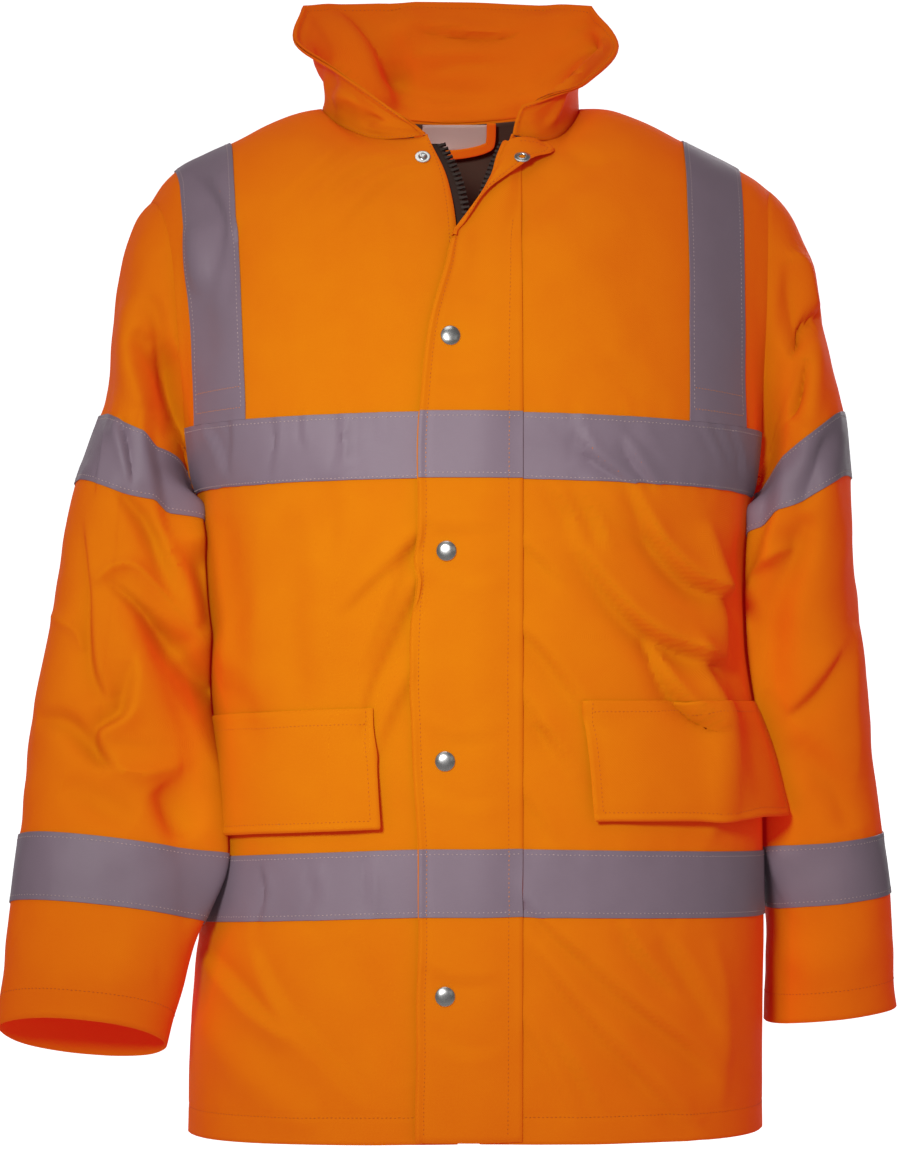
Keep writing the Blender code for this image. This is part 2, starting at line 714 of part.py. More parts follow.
def build_brace(side, word, grids, normals):
    """Tape from the chest tape over the shoulder to the chest tape of the back."""
    front, back = "front_" + word, "back"
    last = len(grids[front][0]) - 1
    middle = (len(grids[back][0]) - 1) // 2
    inner, outer = BRACE_FROM_SIDE
    back_half = middle - inner, middle - outer
    if side == RIGHT:
        front_cols = (outer, inner)
        back_cols = (2 * middle - inner, 2 * middle - outer)
    else:
        front_cols = (last - inner, last - outer)
        back_cols = (outer, inner)
    strip, strip_normals = [], []
    rows = range(ROW["chest_high"], TOP_ROW + 1)
    for panel, cols, order in ((front, front_cols, rows), (back, back_cols, list(rows)[-2::-1])):
        for r in order:
            line = grids[panel][r][cols[0]:cols[1] + 1]
            normal_line = normals[panel][r][cols[0]:cols[1] + 1]
            strip.append(line[::-1] if panel == back else line)
            strip_normals.append(normal_line[::-1] if panel == back else normal_line)
    sheet_wall("brace_" + word, "reflective_tape", strip, strip_normals, LAYER_GAP, TAPE_WALL,
               edges=("bottom", "top"))


def build_pocket_flap(side, word, grids, normals):
    panel = "front_" + word
    rows = (ROW["pocket_low"], ROW["pocket_high"])
    last = len(grids[panel][0]) - 1
    reach = POCKET_REACH[side]
    if side == RIGHT:
        cols, end, before = (1, last - POCKET_COLUMN), 0, 1
    else:
        cols, end, before = (POCKET_COLUMN, last - 1), last, last - 1
    flap, flap_normals = [], []
    for r in range(rows[0], rows[1] + 1):
        corner = grids[panel][r][before].lerp(grids[panel][r][end], reach)
        normal = normals[panel][r][before].lerp(normals[panel][r][end], reach).normalized()
        line = grids[panel][r][cols[0]:cols[1] + 1]
        normal_line = normals[panel][r][cols[0]:cols[1] + 1]
        flap.append([corner] + line if side == RIGHT else line + [corner])
        flap_normals.append([normal] + normal_line if side == RIGHT else normal_line + [normal])
    inner_off, outer_off = POCKET_STAND_OFF[side]
    spans = len(flap[0]) - 1

    def lift(r, c):
        outward = c / spans if side == LEFT else 1 - c / spans
        down = 1 - r / (rows[1] - rows[0])
        return LAYER_GAP + mix(inner_off, outer_off, outward ** 2) * down

    sheet_wall("pocket_flap_" + word, "hi_vis_orange", flap, flap_normals, lift, FLAP_WALL)


def front_surface(grids):
    """Function that gives the y of the fronts' outer face at x and z, also just past their edges."""
    trees = {}
    for side, name in ((RIGHT, "front_right"), (LEFT, "front_left")):
        points = [p for line in grids[name] for p in line]
        cols = len(grids[name][0])
        faces = [(r * cols + c, r * cols + c + 1, (r + 1) * cols + c + 1, (r + 1) * cols + c)
                 for r in range(len(grids[name]) - 1) for c in range(cols - 1)]
        trees[side] = BVHTree.FromPolygons(points, faces)

    def edge_x(side, z):
        return lookup(NECK_OPENING[side], z, 1)

    def y_at(x, z):
        side = LEFT if x > ZIP_X else RIGHT
        if side == LEFT:
            x = max(x, edge_x(LEFT, z) + 1)
        else:
            x = min(x, edge_x(RIGHT, z) - 1)
        for step in range(SEARCH_STEPS):
            start = Vector((x + side * step, RAY_START, z - step / 2))
            hit = trees[side].ray_cast(start, Vector((0, 1, 0)))[0]
            if hit:
                return hit.y
        raise ValueError(f"no front at {x:.0f}, {z:.0f}")

    return y_at


def spread_rows(low, high, step, kept):
    """Heights from low to high with the kept ones among them, no further apart than a step."""
    marks = sorted({low, high, *kept})
    out = [marks[0]]
    for a, b in zip(marks, marks[1:]):
        count = max(1, math.ceil((b - a) / step))
        out += [mix(a, b, k / count) for k in range(1, count + 1)]
    return out


def build_storm_flap(y_at):
    """The flap over the zip, its two tapes and its turned-back facing."""
    levels = [LEVELS[w]["front"] for w in ("chest_low", "chest_high", "waist_low", "waist_high")]
    low, high = LEVELS["hem"]["front"] + 2, FLAP_EDGE[-1][0]
    heights = spread_rows(low, high, FLAP_STEP, levels + [z for z, _ in FLAP_EDGE])
    grid = []
    for z in heights:
        free = lookup(FLAP_EDGE, z, 1)
        line = [mix(free, FLAP_SEAM_X, k / (FLAP_COLUMNS - 1)) for k in range(FLAP_COLUMNS)]
        grid.append([Vector((x, y_at(x, z), z)) for x in line])
    normals = grid_normals(grid)
    sheet_wall("storm_flap", "hi_vis_orange", grid, normals, FLAP_LIFT, FLAP_WALL)
    for word in ("chest", "waist"):
        rows = tuple(heights.index(LEVELS[f"{word}_{end}"]["front"]) for end in ("low", "high"))
        cols = (0, FLAP_COLUMNS - 1)
        sheet_wall(f"tape_{word}_flap", "reflective_tape", cut(grid, rows, cols), cut(normals, rows, cols),
                   FLAP_LIFT + FLAP_WALL + LAYER_GAP, TAPE_WALL)
    facing = []
    for z, turn, free in FACING:
        line = [mix(turn, free, k / (FACING_COLUMNS - 1)) for k in range(FACING_COLUMNS)]
        facing.append([Vector((x, y_at(x, z), z)) for x in line])
    sheet_wall("flap_facing", "hi_vis_orange", facing, grid_normals(facing),
               lambda r, c: lookup(FACING_LIFT, facing[r][c].x, 1), FACING_WALL)


def build_collar():
    seam, bend, edge = neck_line(0), neck_line(1), neck_line(2)
    grid = []
    for k in range(COLLAR_STEPS + 1):
        t = k / COLLAR_STEPS
        grid.append([
            a * (1 - t) ** 2 + b * 2 * t * (1 - t) + c * t * t
            for a, b, c in zip(seam[::-1], bend[::-1], edge[::-1])
        ])
    last = len(grid[0]) - 1
    inner = moved(
        grid, grid_normals(grid),
        lambda r, c: -mix(COLLAR_END_WALL, COLLAR_WALL, min(1.0, min(c, last - c) / COLLAR_END_COLUMNS)),
    )
    trimmed(grid, inner, ("bottom",), SEAM_GAP)
    for outer_point, inner_point in zip(grid[0], inner[0]):
        inner_point.z = max(inner_point.z, outer_point.z + COLLAR_CLEARANCE)
    wall("collar", "hi_vis_orange", grid, inner)


def build_zip(y_at):
    heights = spread_rows(ZIP_LOW_Z, ZIP_TOP_Z, ZIP_STEP, [z for z, _ in NECK_OPENING[RIGHT]])
    for side, word in ((RIGHT, "right"), (LEFT, "left")):
        grid = []
        for z in heights:
            edge = lookup(NECK_OPENING[side], z, 1)
            line = sorted(edge + side * d for d in (ZIP_UNDERLAP, 0, 1 - ZIP_HALF))
            grid.append([Vector((x, y_at(x, z), z)) for x in line])
        sheet_wall("zip_tape_" + word, "zip_plastic", grid, grid_normals(grid),
                   -PANEL_WALL - ZIP_GAP - ZIP_WALL, ZIP_WALL)
    place, outward = on_front(y_at, ZIP_X, SLIDER_Z, -SLIDER_DEPTH)
    box = add_box("zip_slider", "zip_plastic", place, outward, SLIDER)
    bevel = box.modifiers.new("rounded", "BEVEL")
    bevel.width = SLIDER_ROUND * MM
    bevel.segments = 2


def on_front(y_at, x, z, height):
    """Place at a height above the fronts' outer face, and the direction out of the cloth there."""
    slope_x = (y_at(x + SLOPE_REACH, z) - y_at(x - SLOPE_REACH, z)) / (2 * SLOPE_REACH)
    slope_z = (y_at(x, z) - y_at(x, z - SLOPE_REACH)) / SLOPE_REACH
    outward = Vector((slope_x, -1, slope_z)).normalized()
    return Vector((x, y_at(x, z), z)) + outward * height, outward


def add_box(name, material, place, outward, size):
    mesh = bpy.data.meshes.new(name)
    bm = bmesh.new()
    bmesh.ops.create_cube(bm, size=1)
    bmesh.ops.scale(bm, vec=Vector(size) * MM, verts=bm.verts)
    bm.to_mesh(mesh)
    bm.free()
    part = bpy.data.objects.new(name, mesh)
    part.location = place * MM
    part.rotation_euler = outward.to_track_quat("Z", "Y").to_euler()
    jacket.objects.link(part)
    mesh.materials.append(materials[material])
    return part


def add_turned(name, profile, place, outward):
    """A snap part turned about an axis that points out of the front of the jacket."""
    mesh = bpy.data.meshes.new(name)
    points = [(r * MM, 0, h * MM) for r, h in profile]
    mesh.from_pydata(points, [(i, i + 1) for i in range(len(points) - 1)], [])
    part = bpy.data.objects.new(name, mesh)
    part.location = place * MM
    part.rotation_euler = outward.to_track_quat("Z", "Y").to_euler()
    jacket.objects.link(part)
    mesh.materials.append(materials["nickel"])
    screw = part.modifiers.new("turned", "SCREW")
    screw.steps = screw.render_steps = SNAP_SIDES
    screw.use_merge_vertices = True
    screw.merge_threshold = WELD_GAP * MM
    screw.use_normal_calculate = True
    weld = part.modifiers.new("closed", "WELD")
    weld.merge_threshold = WELD_GAP * MM
    return part


def build_snaps(y_at):
    over_flap = FLAP_LIFT + FLAP_WALL + SNAP_GAP
    for number, (x, z) in enumerate(SNAP_CAPS, 1):
        add_turned(f"snap_cap_{number}", CAP_PROFILE, *on_front(y_at, x, z, over_flap))
    add_turned("snap_stud", STUD_PROFILE, *on_front(y_at, *SNAP_STUD, STUD_GAP))
    over_facing = FACING_LIFT[0][1] + FACING_WALL + SNAP_GAP
    add_turned("snap_socket", SOCKET_PROFILE, *on_front(y_at, *SNAP_SOCKET, over_facing))


def build_neck_inside(grids, normals):
    """Dark lining of the upper back, and the label and hanger loop that hang on it."""
    middle = (len(grids["back"][0]) - 1) // 2
    rows = (ROW["chest_low"], TOP_ROW)
    cols = (middle - LINING_COLUMNS, middle + LINING_COLUMNS)
    grid, grid_n = cut(grids["back"], rows, cols), cut(normals["back"], rows, cols)
    lift = -PANEL_WALL - LAYER_GAP - LINING_WALL
    sheet_wall("back_lining", "dark_lining", grid, grid_n, lift, LINING_WALL, edges=("top",))
    points = [p for line in grids["back"] for p in line]
    count = len(grids["back"][0])
    faces = [(r * count + c, r * count + c + 1, (r + 1) * count + c + 1, (r + 1) * count + c)
             for r in range(len(grids["back"]) - 1) for c in range(count - 1)]
    tree = BVHTree.FromPolygons(points, faces)

    def inside(x, z):
        hit = tree.ray_cast(Vector((x, INSIDE_START, z)), Vector((0, 1, 0)))[0]
        return hit.y

    def strip(lines, away):
        return [[Vector((x, inside(x, z) - away, z)) for x, z in line] for line in lines]

    label = [[(mix(*LABEL_X, c / 4), mix(*LABEL_Z, r / 2)) for c in range(5)] for r in range(3)]
    lining = PANEL_WALL + LAYER_GAP + LINING_WALL
    label_grid = strip(label, lining + LABEL_GAP)
    sheet_wall("neck_label", "label_white", label_grid, grid_normals(label_grid), 0, LABEL_WALL)
    path = spline([Vector((x, 0, z)) for x, z in LOOP_PATH], 2)
    sides = []
    for i, point in enumerate(path):
        along = (path[min(i + 1, len(path) - 1)] - path[max(i - 1, 0)]).normalized()
        across = Vector((-along.z, 0, along.x)) * LOOP_WIDTH / 2
        sides.append([(point.x + across.x, point.z + across.z), (point.x - across.x, point.z - across.z)])
    loop_grid = strip([[side[0] for side in sides], [side[1] for side in sides]], lining + LOOP_GAP)
    sheet_wall("hanger_loop", "hi_vis_orange", loop_grid, grid_normals(loop_grid), 0, LOOP_WALL)


jacket = bpy.data.collections.new("hi_vis_jacket")
bpy.context.scene.collection.children.link(jacket)
materials = {}


def make_materials():
    for name, (colour, roughness, metallic) in COLOURS.items():
        material = bpy.data.materials.new(name)
        material.use_nodes = True
        shader = material.node_tree.nodes["Principled BSDF"]
        shader.inputs["Base Color"].default_value = (*colour, 1)
        shader.inputs["Roughness"].default_value = roughness
        shader.inputs["Metallic"].default_value = metallic
        materials[name] = material


def main():
    make_materials()
    grids, normals = build_panels()
    build_tapes(grids, normals)
    for side, word in ((RIGHT, "right"), (LEFT, "left")):
        build_brace(side, word, grids, normals)
        build_pocket_flap(side, word, grids, normals)
        build_sleeve(side, word)
    y_at = front_surface(grids)
    build_storm_flap(y_at)
    build_collar()
    build_zip(y_at)
    build_snaps(y_at)
    build_neck_inside(grids, normals)


clear_scene()
main()
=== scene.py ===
"""Looks of the hi-vis work jacket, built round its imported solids.

Tables are in millimetres, the scene in metres. X is the wearer's left, Y the back, Z up.
"""

import math

import bpy
import numpy as np
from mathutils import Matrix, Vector, noise
from mathutils.bvhtree import BVHTree


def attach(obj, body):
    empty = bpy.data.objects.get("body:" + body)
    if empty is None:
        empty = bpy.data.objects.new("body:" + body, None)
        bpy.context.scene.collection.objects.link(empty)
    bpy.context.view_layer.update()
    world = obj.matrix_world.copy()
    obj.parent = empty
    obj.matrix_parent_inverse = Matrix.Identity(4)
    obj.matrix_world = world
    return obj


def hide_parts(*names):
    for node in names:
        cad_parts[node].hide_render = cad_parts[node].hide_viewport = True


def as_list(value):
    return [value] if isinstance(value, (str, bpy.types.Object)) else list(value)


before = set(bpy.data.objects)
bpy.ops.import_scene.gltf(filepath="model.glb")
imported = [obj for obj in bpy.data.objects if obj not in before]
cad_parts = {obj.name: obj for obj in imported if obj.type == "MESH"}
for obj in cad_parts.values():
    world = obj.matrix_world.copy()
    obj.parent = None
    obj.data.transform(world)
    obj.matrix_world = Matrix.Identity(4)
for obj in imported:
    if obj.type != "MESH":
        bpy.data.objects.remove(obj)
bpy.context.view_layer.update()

MM = 0.001
RIGHT, LEFT = -1, 1
FRONT, BACK = -1, 1

# ---------------------------------------------------------------- sizes of the cut, as in the solids

PANEL_WALL = 2.0
FLAP_WALL = 2.4
TAPE_WALL = 0.8
ZIP_WALL = 1.0
LINING_WALL = 1.0
LAYER_GAP = 0.35
RIM_ROLL, TAPE_ROLL = 0.42, 0.3  # how round an open edge is, as a share of the wall
PANEL_FACING, ARMHOLE_FACING = 8, 16  # grid steps at a seam where the inner face is orange too
CUFF_FACING = 40  # mm of orange inside a cuff

BODY_SQUARENESS = 2.5
LEVEL_BEND = 1.2
BODY = [  # z, half width right, half width left, front depth, back depth
    (-800, 213, 233, 151, 139),
    (-700, 209, 233, 155, 142),
    (-630, 203, 234, 159, 144),
    (-580, 198, 234, 161, 145),
    (-500, 194, 231, 164, 147),
    (-400, 199, 221, 167, 150),
    (-300, 205, 224, 167, 153),
    (-240, 212, 229, 165, 152),
]

LEVELS = {  # z at the middle of the front, at each side seam and at the middle of the back
    "hem": {"front": -784, RIGHT: -793, LEFT: -789, "back": -788},
    "hem_band": {"front": -764, RIGHT: -773, LEFT: -769, "back": -768},
    "waist_low": {"front": -615, RIGHT: -631, LEFT: -625, "back": -622},
    "waist_high": {"front": -565, RIGHT: -582, LEFT: -576, "back": -572},
    "pocket_low": {"front": -547, RIGHT: -566, LEFT: -552, "back": -553},
    "pocket_high": {"front": -460, RIGHT: -474, LEFT: -466, "back": -464},
    "chest_low": {"front": -291, RIGHT: -300, LEFT: -303, "back": -296},
    "chest_high": {"front": -242, RIGHT: -251, LEFT: -254, "back": -246},
}
LEVEL_STEPS = [  # from, to, rows between
    ("hem", "hem_band", 8),
    ("hem_band", "waist_low", 40),
    ("waist_low", "waist_high", 14),
    ("waist_high", "pocket_low", 5),
    ("pocket_low", "pocket_high", 24),
    ("pocket_high", "chest_low", 46),
]
ARMHOLE_STEPS = 20
YOKE_ROWS = 64

ARMHOLE = {  # above the chest tape: share of the way up, x from the middle, y of its two edges
    RIGHT: [(0, 212, -62, 66), (0.25, 217, -73, 80), (0.5, 222, -62, 70), (0.75, 231, -37, 43),
            (1, 243, 0, 0)],
    LEFT: [(0, 229, -56, 68), (0.25, 232, -66, 82), (0.5, 234, -57, 70), (0.75, 236, -34, 42),
           (1, 240, 0, 0)],
}
SHOULDER_TIP_Z = {RIGHT: -73, LEFT: -64}
YOKE_ROUNDNESS = 0.85
NECK_REACH, INWARD_BEND = 1.6, 1.7
YOKE_BLUR, YOKE_BLUR_SPREAD = 90, 2.2  # rounds of evening out beside the neck, and its reach in columns

COLUMNS = {  # from the middle to the side: x at the chest tape, x at the hem
    RIGHT: [(4, 4), (33, 32), (64, 62), (88, 92), (112, 124), (134, 152), (157, 174), (180, 193),
            (203, 206)],
    LEFT: [(13, 13), (44, 44), (64, 66), (90, 92), (114, 124), (138, 155), (165, 182), (190, 205),
           (214, 222)],
}
BACK_COLUMNS = [(0, 0), (30, 32), (62, 66), (92, 98), (113, 124)]
NECK_STEPS = 24  # grid columns from the middle to the side of the neck
SHOULDER_STEPS = 8  # grid columns for each stretch between the outer columns
BRACE = (6.2, 8.0)  # inner and outer edge of a brace, in columns of the table

NECK = [  # round the neck from the right front edge to the left one: seam, bend, edge
    ((-28, -86, -29), (-34, -88, -25), (-42, -87, -19)),
    ((-46, -82, -31), (-50, -81, -20), (-55, -79, -9)),
    ((-70, -66, -29), (-73, -64, -8), (-76, -62, 8)),
    ((-95, -36, -16), (-94, -33, 12), (-101, -33, 28)),
    ((-109, 0, 0), (-101, 4, 30), (-131, 12, 53)),
    ((-94, 38, 2), (-94, 42, 46), (-127, 60, 88)),
    ((-58, 60, 0), (-60, 58, 50), (-84, 84, 93)),
    ((-8, 67, -3), (-7, 64, 50), (-8, 92, 96)),
    ((42, 60, 0), (44, 58, 50), (62, 86, 92)),
    ((77, 38, 2), (80, 44, 50), (104, 60, 88)),
    ((91, 0, 0), (87, 4, 50), (122, 10, 49)),
    ((84, -36, -17), (84, -34, 40), (97, -45, 16)),
    ((72, -62, -29), (71, -65, 6), (76, -72, 3)),
    ((57, -79, -32), (56, -83, -15), (57, -85, -4)),
    ((39, -86, -29), (40, -89, -19), (46, -90, -8)),
]
NECK_SIDE = {RIGHT: 4, LEFT: 10}
NECK_MIDDLE = 7
STATION_STEPS = 24

SHOULDER = {
    RIGHT: [(109, 0), (129, -4), (152, -13), (176, -25), (200, -36), (224, -49), (234, -59), (243, -73)],
    LEFT: [(91, 0), (115, -1), (138, -9), (163, -22), (190, -36), (214, -48), (230, -57), (240, -64)],
}
SHOULDER_COLUMNS = {RIGHT: [143, 176, 200, 224, 243], LEFT: [132, 165, 190, 214, 240]}

NECK_OPENING = {  # edges of the open neck: z, x
    RIGHT: [(-112, -4), (-80, -8), (-60, -13), (-42, -21), (-29, -28)],
    LEFT: [(-112, 13), (-80, 20), (-60, 26), (-42, 33), (-29, 39)],
}
ZIP_X = 4.5

SLEEVE = {  # outer x, outer z, inner x, inner z, front y, back y, rise towards the front
    RIGHT: [
        (283, -245, 207, -310, -94, 88, 0.22),
        (299, -298, 209, -358, -100, 80, 0.24),
        (314, -386, 206, -430, -108, 50, 0.2),
        (330, -484, 206, -500, -122, 16, 0.2),
        (336, -562, 196, -578, -138, -14, 0.2),
        (342, -612, 199, -627, -144, -30, 0.22),
        (348, -705, 224, -716, -148, -54, 0.4),
    ],
    LEFT: [
        (296, -243, 230, -312, -88, 96, 0.2),
        (301, -292, 230, -358, -86, 98, 0.2),
        (309, -386, 229, -430, -66, 98, 0.08),
        (322, -500, 239, -515, -46, 98, 0.0),
        (329, -564, 241, -575, -40, 90, 0.0),
        (335, -611, 241, -622, -36, 86, 0.0),
        (342, -700, 238, -712, -28, 80, 0.0),
    ],
}
SLEEVE_ROWS = [34, 18, 40, 42, 26, 14, 22]  # grid rows up to each ring
SLEEVE_COLUMNS = (100, 106)  # grid columns on the inner front and on the rest
SLEEVE_SQUARENESS = 2.2
ARMHOLE_GAP = 0.3
UNDERARM_GAP = 1.0
CAP_BULGE, CAP_LIFT = 11, 0.4
ARM_TAPE, WRIST_TAPE = (0, 1), (4, 5)
TOUCH_GAP = 1.4  # between a sleeve and the side of the body
SEAM_TUCK = 3.0
ARM_STEP = {  # edge of the fold across the arm tape, how far its inner side drops and lies back, heights
    RIGHT: ([(-242, -225), (-240, -261), (-237, -277), (-234, -295), (-230, -315), (-226, -340)], 9, 9,
            (-226, -252, -306, -340)),
    LEFT: ([(248, -205), (247, -230), (246, -258), (242, -283), (239, -310), (233, -329), (229, -344),
            (222, -362), (215, -385), (210, -430)], 10, 13, (-208, -262, -340, -420)),
}
BAND_LEVEL = {RIGHT: 44, LEFT: 24}  # how far the inner front of the arm tape is drawn up

FLAP_SEAM_X = 44
FLAP_LIFT = 2.6
FLAP_EDGE = [
    (-786, -34), (-690, -33), (-640, -31), (-590, -31), (-540, -34), (-480, -36), (-400, -36),
    (-366, -35), (-328, -33), (-288, -32), (-240, -30), (-200, -27), (-165, -22), (-135, -14),
    (-105, -4), (-94, 4), (-75, 17), (-61, 24), (-50, 27), (-38, 32),
]
FACING = [(-114, -9, -7.5), (-107, -5.5, -2.5), (-94, 4, 6.5), (-81, 13, 16), (-70, 19, 30),
          (-61, 23.5, 41), (-50, 28, 57), (-41, 32, 67), (-36, 35, 63)]

SNAP_CAPS = [(-9, -186), (-12, -345), (-13, -500), (-13, -674)]
SNAP_STUD, SNAP_SOCKET = (-30, -48), (45, -49)


# ---------------------------------------------------------------- smooth tables


def mix(a, b, share):
    return a + (b - a) * share


def smooth(value, low=0.0, high=1.0):
    t = np.clip((value - low) / (high - low), 0, 1)
    return t * t * (3 - 2 * t)


class Curve:
    """Smooth values between the rows of a table, found by its first column."""

    def __init__(self, rows):
        rows = sorted(rows, key=lambda row: row[0])
        self.at = np.array([row[0] for row in rows], float)
        self.values = np.array([np.hstack(row[1:]) for row in rows], float)
        steps = np.diff(self.at)[:, None]
        chords = np.diff(self.values, axis=0) / steps
        inner = (chords[:-1] * steps[1:] + chords[1:] * steps[:-1]) / (steps[:-1] + steps[1:])
        self.slopes = np.vstack([chords[:1], inner, chords[-1:]])

    def __call__(self, at, column=None):
        at = np.clip(np.asarray(at, float), self.at[0], self.at[-1])
        i = np.clip(np.searchsorted(self.at, at, side="right") - 1, 0, len(self.at) - 2)
        h = (self.at[i + 1] - self.at[i])[..., None]
        t = (at - self.at[i])[..., None] / h
        value = (
            self.values[i] * (1 + 2 * t) * (1 - t) ** 2 + self.values[i + 1] * t * t * (3 - 2 * t)
            + self.slopes[i] * h * t * (1 - t) ** 2 - self.slopes[i + 1] * h * t * t * (1 - t)
        )
        return value if column is None else value[..., column]


def catmull(points, split):
    """Points on a smooth curve through the given ones, split steps to each stretch."""
    p = np.array(points, float)
    out = []
    for i in range(len(p) - 1):
        before, after = p[max(i - 1, 0)], p[min(i + 2, len(p) - 1)]
        a, b = p[i], p[i + 1]
        for k in range(split):
            t = k / split
            out.append(0.5 * (2 * a + (b - before) * t + (2 * before - 5 * a + 4 * b - after) * t * t
                              + (3 * a - before - 3 * b + after) * t ** 3))
    return np.array(out + [p[-1]])


BODY_CURVE = Curve(BODY)
ARMHOLE_CURVE = {side: Curve(rows) for side, rows in ARMHOLE.items()}
SHOULDER_CURVE = {side: Curve(rows) for side, rows in SHOULDER.items()}
OPENING_CURVE = {side: Curve(rows) for side, rows in NECK_OPENING.items()}
FLAP_CURVE = Curve(FLAP_EDGE)


def half_width(side, z):
    return BODY_CURVE(z, 0 if side == RIGHT else 1)


def depth(face, z):
    return BODY_CURVE(z, 2 if face == FRONT else 3)


def yoke_rise(share):
    return np.sin(math.pi / 2 * np.asarray(share, float)) ** YOKE_ROUNDNESS


# ---------------------------------------------------------------- worn form of the body


def row_plan():
    rows, names = [("hem", "hem", 0.0)], {"hem": 0}
    for low, high, steps in LEVEL_STEPS:
        rows += [(low, high, k / steps) for k in range(1, steps + 1)]
        names[high] = len(rows) - 1
    rows += [("chest_low", "chest_high", k / ARMHOLE_STEPS) for k in range(1, ARMHOLE_STEPS + 1)]
    names["chest_high"] = len(rows) - 1
    return rows, names


ROWS, ROW = row_plan()
LAST_ROW = len(ROWS) - 1 + YOKE_ROWS
YOKE_SHARES = np.linspace(0, 1, YOKE_ROWS + 1)[1:]


def armhole_low(side, face, share):
    _, x, y_front, y_back = ARMHOLE[side][0]
    y = y_front if face == FRONT else y_back
    low, high = LEVELS["chest_low"][side], LEVELS["chest_high"][side]
    angle = math.pi / 2 * share
    x = mix(float(half_width(side, low)), x, share)
    return np.array([side * x, y * math.sin(angle), mix(low, high, 1 - math.cos(angle))])


def armhole_high(side, face, share):
    x = ARMHOLE_CURVE[side](share, 0)
    y = ARMHOLE_CURVE[side](share, 1 if face == FRONT else 2)
    z = mix(LEVELS["chest_high"][side], SHOULDER_TIP_Z[side], yoke_rise(share))
    return np.stack([side * x, y, z], axis=-1)


def section_full(end, centre_depth):
    n = BODY_SQUARENESS
    full = np.arccos(np.clip((np.abs(end[..., 1]) / centre_depth) ** (n / 2), 0, 1))
    return full, np.abs(end[..., 0]) / np.sin(full) ** (2 / n)


def column_share(face, x, z, end):
    full, width = section_full(end, depth(face, z))
    return float(np.arcsin(min(1.0, float(x / width) ** (BODY_SQUARENESS / 2))) / full)


def row_ends(side, face):
    """Outer end and middle height of each row up to the top of the chest tape."""
    ends, middles = [], []
    where = "front" if face == FRONT else "back"
    for low, high, share in ROWS:
        if high == "chest_high":
            ends.append(armhole_low(side, face, share))
            share = 1 - math.cos(math.pi / 2 * share)
        else:
            z = mix(LEVELS[low][side], LEVELS[high][side], share)
            ends.append(np.array([side * float(half_width(side, z)), 0.0, z]))
        middles.append(mix(LEVELS[low][where], LEVELS[high][where], share))
    return np.array(ends), np.array(middles)


def neck_line(part):
    return catmull([station[part] for station in NECK], STATION_STEPS)


def column_places():
    """Place of each grid column in the table of columns: 0 at the middle, 9 at the side."""
    neck = np.linspace(0, 4, NECK_STEPS + 1)
    outer = np.linspace(4, 9, 5 * SHOULDER_STEPS + 1)[1:]
    return np.concatenate([neck, outer])


PLACES = column_places()
LAST_COL = len(PLACES) - 1


def col_at(place):
    """Grid column, with its fraction, of a place in the table of columns."""
    return float(np.interp(place, PLACES, np.arange(len(PLACES))))


def column_tops(side, face):
    neck = neck_line(0)
    corner = NECK_SIDE[side] * STATION_STEPS
    if face == FRONT:
        stretch = neck[:corner + 1] if side == RIGHT else neck[corner:][::-1]
    else:
        middle = NECK_MIDDLE * STATION_STEPS
        stretch = neck[corner:middle + 1][::-1] if side == RIGHT else neck[middle:corner + 1]
    tops = stretch[::(len(stretch) - 1) // NECK_STEPS]
    xs = Curve(list(enumerate([NECK_ABS[side]] + SHOULDER_COLUMNS[side], 4)))
    outer = [(side * x, 0, float(SHOULDER_CURVE[side](x, 0))) for x in xs(PLACES[NECK_STEPS + 1:], 0)]
    return np.vstack([tops, np.array(outer)])


NECK_ABS = {side: abs(NECK[NECK_SIDE[side]][0][0]) for side in (RIGHT, LEFT)}


